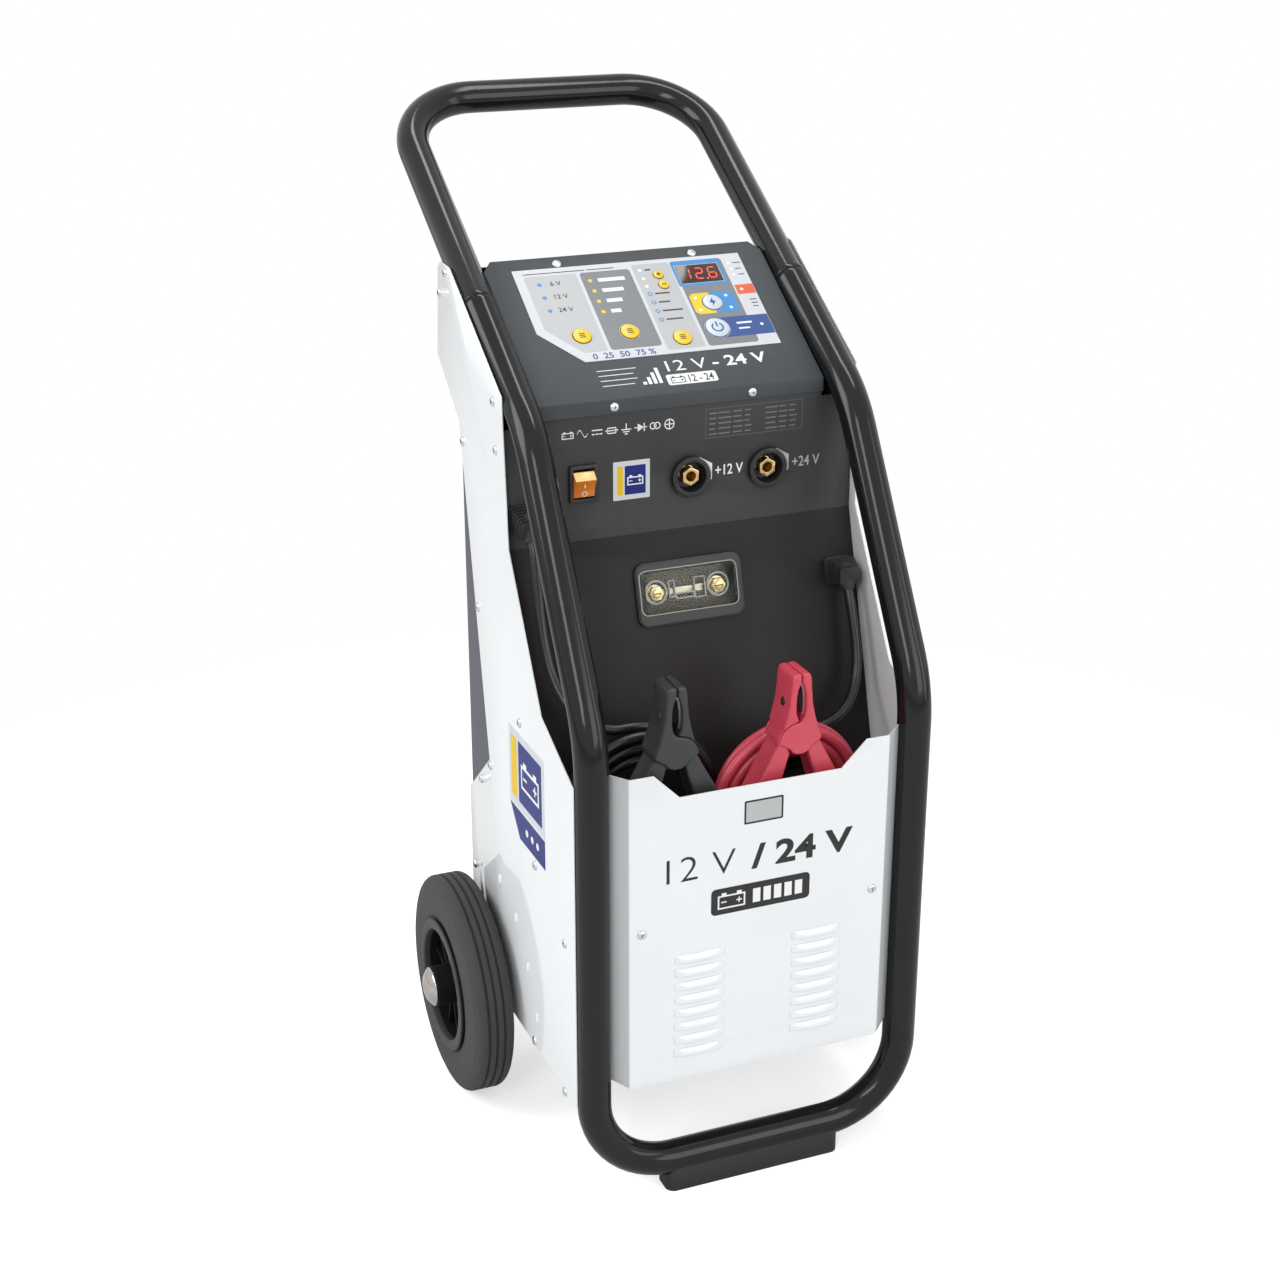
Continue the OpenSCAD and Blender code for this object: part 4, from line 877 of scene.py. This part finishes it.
for name, pivot, armSide in (("black", blackPivot, -1), ("red", redPivot, 1)):
    for part, sign, body in (("Arm", armSide, "trolley"), ("Jaw", -armSide, name + "_jaw")):
        across, out, up = clamps["rivetAt"]
        spot = (pivot + Vector((sign * across, out, up)), (sign, 0, clamps["rivetOut"]), 0)
        rivet = name + part + "Rivet"
        settle(rivet, strewn(rivet, domeTree, clamps["rivet"], "blackAbs", [spot]), None, body)
        settle(name + part + "Teeth", toothStrip(pivot, sign), "zincPlate", body)
print("clamp details")

# console film: plain fields, cut out round the keys and the display; keys as x, s and radius
keys = {"voltage": (-66, 70, 8), "rating": (-24, 70, 8), "type": (19, 58, 8), "plus": (22.5, 131, 4.6),
        "minus": (23.5, 119, 4.6), "mode": (59, 94, 8.6), "start": (53, 65, 10.5)}
lid = {"field": 0.54, "yellow": 0.6, "colour": 0.61, "mark": 0.62, "keySign": 1.94, "reading": 0.74,
       "lens": (59.5, 129, 39, 21), "lensRoom": 0.6, "margin": 0.9}


def around(name, extra=0.0):
    x, s, r = keys[name]
    return round2d(x, s, r + lid["margin"] + extra)


def keySign(name, finish, shapes):  # loops round the middle of a key
    x, s, _ = keys[name]
    shapes = [[moved2d(loop, x, s) for loop in shape] for shape in shapes]
    printed(name + "Sign", finish, shapes, lidFace, lid["keySign"], name + "_key")


lensX, lensS, lensW, lensH = lid["lens"]
lensHalfW, lensHalfH = lensW / 2 + lid["lensRoom"], lensH / 2 + lid["lensRoom"]
lensHole = panel2d(lensX - lensHalfW, lensS - lensHalfH, lensX + lensHalfW, lensS + lensHalfH, 0.8)
fieldOne = [(-95, 80.5), (-69.5, 52), (-49, 52), (-49, 141), (-95, 141)]
paleFields = [[fieldOne, around("voltage")],
              [panel2d(2, 46, 36, 145, 3), around("type"), around("plus"), around("minus")]]
greyFields = [[panel2d(-46, 52, -1, 141, 3), around("rating")],
              [panel2d(39, 46, 84.5, 145, 3), lensHole, around("mode"), around("start")]]
printed("filmPaleFields", "filmPale", paleFields, lidFace, lid["field"])
printed("filmGreyFields", "filmGrey", greyFields, lidFace, lid["field"])
modeX, modeS, modeR = keys["mode"]
halfRing = arc2d(0, 0, modeR + lid["margin"], 90, -10, 19)
blueHalf = [(59, 82), (78, 82), (81, 85), (81, 103), (78, 106), (59, 106)] + moved2d(halfRing, modeX, modeS)
yellowHalf = [(59, 106), (44, 106), (41, 103), (41, 85), (44, 82), (59, 82)] + moved2d(halfRing, modeX, modeS, -1)
blueFields = [[panel2d(lensX - 22.5, lensS - 14, lensX + 22.5, lensS + 16, 2.5), lensHole], [blueHalf]]
blueFields += [[round2d(8, s, 2.2, 20), round2d(8, s, 1.3, 16)] for s in (110, 100, 90, 80)]
blueFields += [[round2d(-84, s, 2.0, 20)] for s in (131, 116, 101)]
printed("filmBlueFields", "filmBlue", blueFields, lidFace, lid["colour"])
yellowFields = [[yellowHalf]] + [[round2d(-39, s, 1.9, 20)] for s in (131, 119, 107, 95)]
printed("filmYellowField", "keyYellow", yellowFields, lidFace, lid["yellow"])
startX, startS, _ = keys["start"]
startField = [(102.6, 54), (102.6, 76)] + arc2d(startX, startS, 12, 70, 11, 21)
scale = boxedWord("0  25  50  75 %", -64, 43.6, -9, 49.8, 0.12)
printed("filmNavyFields", "filmNavy", [[startField, around("start", 0.3)], scale], lidFace, lid["colour"])
printed("filmOrangeField", "filmOrange", [[bar2d(86, 101, 102.6, 112)]], lidFace, lid["field"])

# white marks: stepped bars, lamps and scale strokes
lampsAt = ((46, 101), (74, 101), (46, 87), (74, 87), (91, 106.5), (90, 138), (90, 131), (90, 124), (94, 65))
whiteMarks = [[bar2d(-32, 129 - 12 * i, -8 - 5 * i, 133 - 12 * i)] for i in range(4)]
whiteMarks += [[round2d(x, s, 1.5, 18)] for x, s in lampsAt] + [[round2d(8, s, 1.6, 18)] for s in (138, 128, 119)]
whiteMarks += [[bar2d(72, 67.5, 86, 69.5)], [bar2d(72, 61.5, 82, 63.2)]]
printed("filmWhiteMarks", "inkWhite", whiteMarks, lidFace, lid["mark"])

# dark marks: voltages, dashes beside the lamps, key signs
darkMarks = [wordMesh(t, 7.0, -70, s, 0.06) for t, s in (("6 V", 131), ("12 V", 116), ("24 V", 101))]
for x, thick, dashes in ((12.5, 0.8, ((138, 5), (110, 13), (100, 10), (90, 18), (80, 15))),
                         (94, 0.4, ((138, 7), (131, 5), (124, 6), (94, 6), (90, 6), (86, 5)))):
    darkMarks += [[bar2d(x, s - thick, x + w, s + thick)] for s, w in dashes]
darkMarks += [[bar2d(-95, 143.4, -40, 144.2)], [bar2d(-38, 143.4, -14, 144.2)]]
printed("filmDarkMarks", "filmBlack", darkMarks, lidFace, lid["mark"])
for name in ("voltage", "rating", "type"):
    keySign(name, "filmBlack", [[bar2d(-2.6, d - 0.5, 2.6, d + 0.5)] for d in (-2, 0, 2)])
quarter = [(-2.2, -0.6), (-0.6, -0.6), (-0.6, -2.2)]
plusSign = []
for _ in range(4):
    plusSign += quarter
    quarter = [(-v, u) for u, v in quarter]
keySign("plus", "filmBlack", [[plusSign]])
keySign("minus", "filmBlack", [[bar2d(-2.2, -0.6, 2.2, 0.6)]])
keySign("mode", "filmNavy", [[[(0.9, 5), (-3, -0.9), (-0.5, -0.9), (-1.1, -5), (3, 1.0), (0.5, 1.0)]]])
powerArc = arc2d(0, 0, 5.4, 55, -290 / 30, 31) + arc2d(0, 0, 4.0, 55, -290 / 30, 31)[::-1]
keySign("start", "filmNavy", [[powerArc], [bar2d(-0.75, 0.6, 0.75, 6.2)]])

# seven segment reading: each segment's place in half sizes and its direction, and the lit ones of each figure
digit = {"h": 6.0, "w": 3.3, "bar": 0.6, "slant": 0.08, "pitch": 12, "lit": {"1": "bc", "2": "abdeg", "6": "acdefg"},
         "place": {"a": (0, 1, 1), "g": (0, 0, 1), "d": (0, -1, 1), "f": (-1, 0.5, 0), "b": (1, 0.5, 0),
                   "e": (-1, -0.5, 0), "c": (1, -0.5, 0)}, "point": (5.9, -6.5, 0.95)}
reading = []
for i, figure in enumerate("126"):
    for key in digit["lit"][figure]:
        cx, cy, flat = digit["place"][key]
        b, long = digit["bar"], (digit["w"] if flat else digit["h"] / 2) - 0.35
        lozenge = [(-long, 0), (-long + b, -b), (long - b, -b), (long, 0), (long - b, b), (-long + b, b)]
        lozenge = moved2d(lozenge if flat else [(v, u) for u, v in lozenge], cx * digit["w"], cy * digit["h"])
        x = lensX + digit["pitch"] * (i - 1)
        reading.append([[(x + u + digit["slant"] * v, lensS + v) for u, v in lozenge]])
pointX, pointS, pointR = digit["point"]
reading.append([round2d(lensX + pointX, lensS + pointS, pointR, 14)])
printed("displayReading", "litSegment", reading, lidFace, lid["reading"])

# console lettering and lines, plain ratings only
inkLift = 0.05
lidMarks = [boxedWord("12 V", -6, 23.4, 30, 34.8, -0.02), boxedWord("- 24 V", 35, 23.4, 84, 34.8, 0.22)]
lidMarks += [[panel2d(-10, 8.4, 34, 19.8, 2)]]
lidMarks += [[bar2d(-66, s - 0.35, -66 + w, s + 0.35)] for s, w in ((31, 34), (25.5, 30), (20, 32), (14.5, 28))]
lidMarks += [[bar2d(-31 + 4.6 * i, 12, -28 + 4.6 * i, 15 + 4.6 * i)] for i in range(4)]
printed("lidMarks", "inkWhite", lidMarks, lidFace, inkLift)
poles = [(9, 4), (6.6, 4), (6.6, 5.6), (3.4, 5.6), (3.4, 4)]
battery2d = [(-9, -5), (9, -5)] + poles + [(-u, v) for u, v in poles[::-1]]


def batterySign(x, y, k, hollow):  # battery outline with its two poles and signs
    wide, b, h, mid = 9 - hollow, 0.42, 1.8, -0.5
    shapes = [[battery2d, bar2d(-wide, hollow - 5, wide, 4 - hollow)],
              [bar2d(-6.8, mid - b, -3.2, mid + b)], [bar2d(3.2, mid - b, 6.8, mid + b)],
              [bar2d(5 - b, mid + b, 5 + b, mid + h)], [bar2d(5 - b, mid - h, 5 + b, mid - b)]]
    return [[moved2d(loop, x, y, k) for loop in shape] for shape in shapes]


lidPlate = batterySign(-0.5, 13.6, 0.7, 1.1) + [boxedWord("12 - 24", 9, 10.2, 31, 17.8, 0.1)]
printed("lidPlateSign", "filmBlack", lidPlate, lidFace, 0.12)
print("console prints")

# front of the fascia: socket ratings, hexagons behind the shells, plain signs and lines
shell = {"z": 546, "r": 16.6, "hexZ": 547.9, "hexR": 13.1, "hexFlat": 0.866}


def clippedHexagon(x, shellX):  # the right part of a hexagon, up to the shell
    z, r = shell["hexZ"], shell["hexR"]
    right = x + r * shell["hexFlat"]
    return arc2d(shellX, shell["z"], shell["r"], 59.9, -8, 12) + [(right, z - r / 2), (right, z + r / 2), (x, z + r)]


# row of electrical signs: battery, wave, direct current, fuse, earth, diode, transformer, lamp
signs = {"from": -100.5, "pitch": 12.6, "z": 592.0}
line = 0.85
thin = line / 2
wave = [(0.46 * i - 4.6, 3.0 * math.sin(i / 20 * 2 * math.pi)) for i in range(21)]
signShapes = [
    batterySign(0, -0.4, 0.56, 1.3),
    [[[(x, z + thin) for x, z in wave] + [(x, z - thin) for x, z in wave[::-1]]]],
    [[bar2d(-4.6, 1.2, 4.6, 2.1)]] + [[bar2d(3.3 * i - 4.6, -2.1, 3.3 * i - 2, -1.2)] for i in range(3)],
    [[panel2d(-4, -2.6, 4, 2.6, 0.8), panel2d(-3.2, -1.8, 3.2, 1.8, 0.4)], [bar2d(-5.6, -thin, 5.6, thin)]],
    [[bar2d(-thin, 0, thin, 4.6)]] + [[bar2d(-w, -line - 1.9 * i, w, -1.9 * i)] for i, w in enumerate((4.3, 2.8, 1.3))],
    [[[(-2.6, -3.4), (-2.6, 3.4), (2.6, 0)]], [bar2d(2.6, -3.4, 3.5, 3.4)], [bar2d(-5.4, -thin, 5.4, thin)]],
    [ring2d(u, 0, 3.0, line) for u in (-1.8, 1.8)],
    [ring2d(0, 0, 4.5, line), [bar2d(-thin, -4, thin, 4)], [bar2d(-4, -thin, 4, thin)]],
]
fasciaMarks = [boxedWord("+12 V", 29.1, 543.5, 54.3, 552.4, 0.14), [clippedHexagon(14.9, 6.2)]]
for i, shapes in enumerate(signShapes):
    x = signs["from"] + signs["pitch"] * i
    fasciaMarks += [[moved2d(loop, x, signs["z"]) for loop in shape] for shape in shapes]
printed("fasciaMarks", "inkWhite", fasciaMarks, fasciaFace, inkLift)
fasciaGreys = [boxedWord("+24 V", 99.8, 542.9, 125.1, 551.8, 0.06), [clippedHexagon(85.0, 75.7)]]
printed("fasciaGreys", "filmPale", fasciaGreys, fasciaFace, inkLift)
rating = [[bar2d(20, 576, 108, 601), bar2d(20.3, 576.3, 107.7, 600.7)]]
for row in range(5):
    z = 596.3 - 4.4 * row
    for first, words in ((23, (7, 12, 9, 6)), (74, (11, 8, 7))):
        for i, word in enumerate(words):
            start = first + sum(words[:i]) + 1.4 * i
            rating.append([bar2d(start, z, start + word - (row * 5 + i * 3) % 4 * 0.6, z + 1.1)])
printed("fasciaLines", "inkFaint", rating, fasciaFace, inkLift)
printed("fasciaPlate", "filmWhite", [flatMesh([panel2d(-61.7, 532.3, -29.5, 565.0, 0.6)], 0.16)], fasciaFace, 0.1)
printed("fasciaPlateField", "plateNavy", [[panel2d(-51.6, 536.4, -33.2, 560.8, 0.4)]], fasciaFace, 0.22)
printed("fasciaPlateBar", "plateYellow", [[panel2d(-58.0, 536.4, -53.2, 560.8, 0.4)]], fasciaFace, 0.22)
printed("fasciaPlateSign", "inkWhite", batterySign(-42.4, 548.2, 0.78, 1.3), fasciaFace, 0.28)

# fuse window: rim of the clear lid as a pale painted highlight line, laminate bed, rings and ribs of the clear moulding
# in the same painted highlight grey, and dark bars of painted shade for the slots in the stud ends
fuse = {"mid": -52, "studX": 28, "rim": (-45.2, -69.2, 43.2, -31.4), "frame": (-46.6, -77, 44.6, -27), "line": 0.8,
        "ring": 10.2, "ringUp": 1, "ringWide": 1.6, "bed": (40.6, 19.4), "slot": (3.4, 0.5),
        "ribs": ((-16.5, -57, -10.5, -42.5), (6.5, -60, 17, -42.5), (-10.5, -59, 6.5, -54)),
        "lidAt": 4.04, "hazeAt": -5.0, "bedAt": -13.0, "slotAt": -0.5}


def inset(box, by):
    x0, y0, x1, y1 = box
    return x0 + by, y0 + by, x1 - by, y1 - by


rimLine = panel2d(*fuse["rim"], 6)
inside = panel2d(*inset(fuse["rim"], fuse["line"]), 5.2)
bedX, bedZ = fuse["bed"]
slotX, slotZ = fuse["slot"]
mid, studs = fuse["mid"], (-fuse["studX"], fuse["studX"])
# rings and ribs of the clear moulding, real shapes painted in the highlight grey
clearHighlights = [flatMesh(ring2d(x, mid + fuse["ringUp"], fuse["ring"], fuse["ringWide"]), 2.4) for x in studs]
clearHighlights += [flatMesh([bar2d(*box), bar2d(*inset(box, 1))], 2.0) for box in fuse["ribs"]]
for name, finish, shapes, lift, slot in (
        ("fuseFrameEdge", "blackAbs", [[panel2d(*fuse["frame"], 7), rimLine]], fuse["lidAt"], "black_plastic"),
        # painted highlight: a pale line along the clear lid's rim
        ("fuseRimLine", "clearEdgeHighlight", [[rimLine, inside]], fuse["lidAt"], "clear_cover"),
        ("fuseBed", "brownLaminate", [flatMesh([bar2d(-bedX, mid - bedZ, bedX, mid + bedZ)], 1.0)], fuse["bedAt"],
         "black_plastic"),
        ("fuseHazed", "clearEdgeHighlight", clearHighlights, fuse["hazeAt"], "clear_cover"),
        # painted shade: flat dark bars stand for the slots in the stud ends
        ("fuseSlots", "brownLaminate", [[bar2d(x - slotX, mid - slotZ, x + slotX, mid + slotZ)] for x in studs],
         fuse["slotAt"], "brass")):
    printed(name, finish, shapes, wallFace, lift)

# rocker signs on the hollow front of the key: place, direction upward, outline
rockerSigns = {"rockerOnSign": ((-88.3, 146.8, 550.0), (-1.6, 4.2), [bar2d(-0.45, -1.8, 0.45, 1.8)]),
               "rockerOffSign": ((-87.8, 149.1, 542.7), (-0.6, 3.5), ring2d(0, 0, 2.3, 0.55))}
for name, (place, rise, loops) in rockerSigns.items():
    right, up = Vector((1, 0, 0)), Vector((0, *rise)).normalized()
    base = Matrix.Translation(at(*place)) @ Matrix((right, up, right.cross(up))).transposed().to_4x4()
    printed(name, "inkWhite", [loops], base, 0.25, "rocker_key")

# front cover and left side: plain ratings and a battery sign
coverBox = (-13.4, 306.6, 17.7, 324)
coverWords = [boxedWord("12 V", -82, 264.5, -22, 286, -0.12), boxedWord("/ 24 V", -8, 264, 83, 286, 0.32)]
coverBars = [[bar2d(9.4 * i - 6, 233.4, 9.4 * i + 0.6, 246)] for i in range(5)]
leftBand = [(-151, 281), (-66, 281), (-66, 255), (-128, 255)]
for name, finish, shapes, face, lift in (
        ("coverRating", "filmBlack", coverWords + [flatMesh([panel2d(-43, 228, 45, 251.6, 4)], 0.1)], coverFace, 0.06),
        ("coverBarSign", "inkWhite", batterySign(-25, 239.6, 1.35, 1.0) + coverBars, coverFace, 0.15),
        ("coverPlate", "filmBlack", [flatMesh([panel2d(*inset(coverBox, -1.6), 1.2), panel2d(*coverBox, 0.6)], 0.1)],
         coverFace, 0.06),
        ("coverPlateField", "filmPale", [flatMesh([panel2d(*coverBox, 0.6)], 0.08)], coverFace, 0.05),
        ("leftPlate", "filmWhite", [flatMesh([bar2d(-151, 283, -66, 352)], 0.14)], leftFace, 0.09),
        ("leftPlateField", "plateNavy", [[panel2d(-128, 290, -72, 345, 1)]], leftFace, 0.2),
        ("leftPlateBar", "plateYellow", [[panel2d(-146, 290, -132, 345, 1)]], leftFace, 0.2),
        ("leftPlateSign", "inkWhite", batterySign(-100, 317, 2.4, 1.1), leftFace, 0.27),
        ("leftPlateBand", "plateNavy", [flatMesh([leftBand], 0.14)], leftFace, 0.09),
        ("leftPlateDots", "inkWhite", [[round2d(-84 - 13 * i, 268, 3.2)] for i in range(3)], leftFace, 0.2)):
    printed(name, finish, shapes, face, lift)
print("plates and ratings")

# studio: pale floor that ends softly, in m from the object, where the surroundings are as white; soft boxes
studio = {"fill": 0.42, "floor": 8, "fadeFrom": 0.5, "fadeTo": 1.1, "lift": 0.52, "paper": ("#f4f4f4", "#f7f7f7")}
reach = studio["floor"]
floorMesh = meshFrom("studioFloor", [(x, y, 0) for x, y in bar2d(-reach, -reach, reach, reach)], [(0, 1, 2, 3)])
paper = bpy.data.materials.new("whitePaper")
tree = emptyTree(paper)
seen = addNode(tree, "ShaderNodeLightPath").outputs
place = addNode(tree, "ShaderNodeTexCoord").outputs["Object"]
grain = addNode(tree, "ShaderNodeTexNoise", None, {"Vector": place, "Scale": 40.0})
tone = addNode(tree, "ShaderNodeMix", {"data_type": "RGBA"},
               {0: grain, 6: hexLinear(studio["paper"][0]), 7: hexLinear(studio["paper"][1])})
matt = addNode(tree, "ShaderNodeBsdfDiffuse", None, {"Color": tone.outputs[2]})
share = addNode(tree, "ShaderNodeMath", {"operation": "MULTIPLY"}, {0: seen["Is Camera Ray"], 1: studio["lift"]})
lift = addNode(tree, "ShaderNodeEmission", None, {"Color": hexLinear("#ffffff"), "Strength": share})
lit = addNode(tree, "ShaderNodeAddShader", None, {0: matt, 1: lift})
far = addNode(tree, "ShaderNodeVectorMath", {"operation": "LENGTH"}, {0: place})
fade = addNode(tree, "ShaderNodeMapRange", {"interpolation_type": "SMOOTHSTEP"},
               {"Value": far.outputs["Value"], "From Min": studio["fadeFrom"], "From Max": studio["fadeTo"]})
ends = addNode(tree, "ShaderNodeMath", {"operation": "MULTIPLY"}, {0: fade, 1: seen["Is Camera Ray"]})
both = addNode(tree, "ShaderNodeMixShader", None, {0: ends, 1: lit, 2: addNode(tree, "ShaderNodeBsdfTransparent")})
addNode(tree, "ShaderNodeOutputMaterial", None, {"Surface": both})
floorMesh.materials.append(paper)
floorPiece = linked("studioFloor", floorMesh)

scene.world = bpy.data.worlds.new("whiteStudio")
tree = emptyTree(scene.world)
seen = addNode(tree, "ShaderNodeLightPath").outputs
bright = addNode(tree, "ShaderNodeMath", {"operation": "MAXIMUM"}, {0: seen["Is Camera Ray"], 1: seen["Is Glossy Ray"]})
bright = addNode(tree, "ShaderNodeMath", {"operation": "MAXIMUM"}, {0: bright, 1: seen["Is Transmission Ray"]})
level = addNode(tree, "ShaderNodeMapRange", None, {"Value": bright, "To Min": studio["fill"], "To Max": 1.0})
sky = addNode(tree, "ShaderNodeBackground", None, {"Color": hexLinear("#ffffff"), "Strength": level})
addNode(tree, "ShaderNodeOutputWorld", None, {"Surface": sky})

# soft boxes: place and aim in mm, size in m, power in W
softBoxes = {"keyBox": ((-1700, -1900, 1950), (0, 100, 450), (0.7, 1.6), 20.0),
             "frontBox": ((900, -2300, 1300), (0, 100, 400), (1.4, 1.6), 18.0),
             "topBox": ((300, 350, 2300), (0, 200, 500), (1.6, 0.3), 12.0),
             "sideBox": ((1900, -1200, 1000), (0, 100, 400), (0.5, 1.8), 6.0),
             "leftBox": ((-1800, 400, 1500), (-150, 150, 560), (1.0, 1.2), 19.0)}
for name, (place, aim, size, power) in softBoxes.items():
    lamp = bpy.data.lights.new(name, "AREA")
    lamp.shape = "RECTANGLE"
    lamp.size, lamp.size_y = size
    lamp.energy = power
    box = linked(name, lamp)
    box.location = at(*place)
    box.rotation_mode = "QUATERNION"
    box.rotation_quaternion = (at(*aim) - at(*place)).to_track_quat("-Z", "Y")
scene.view_settings.view_transform = "Standard"
print("studio")
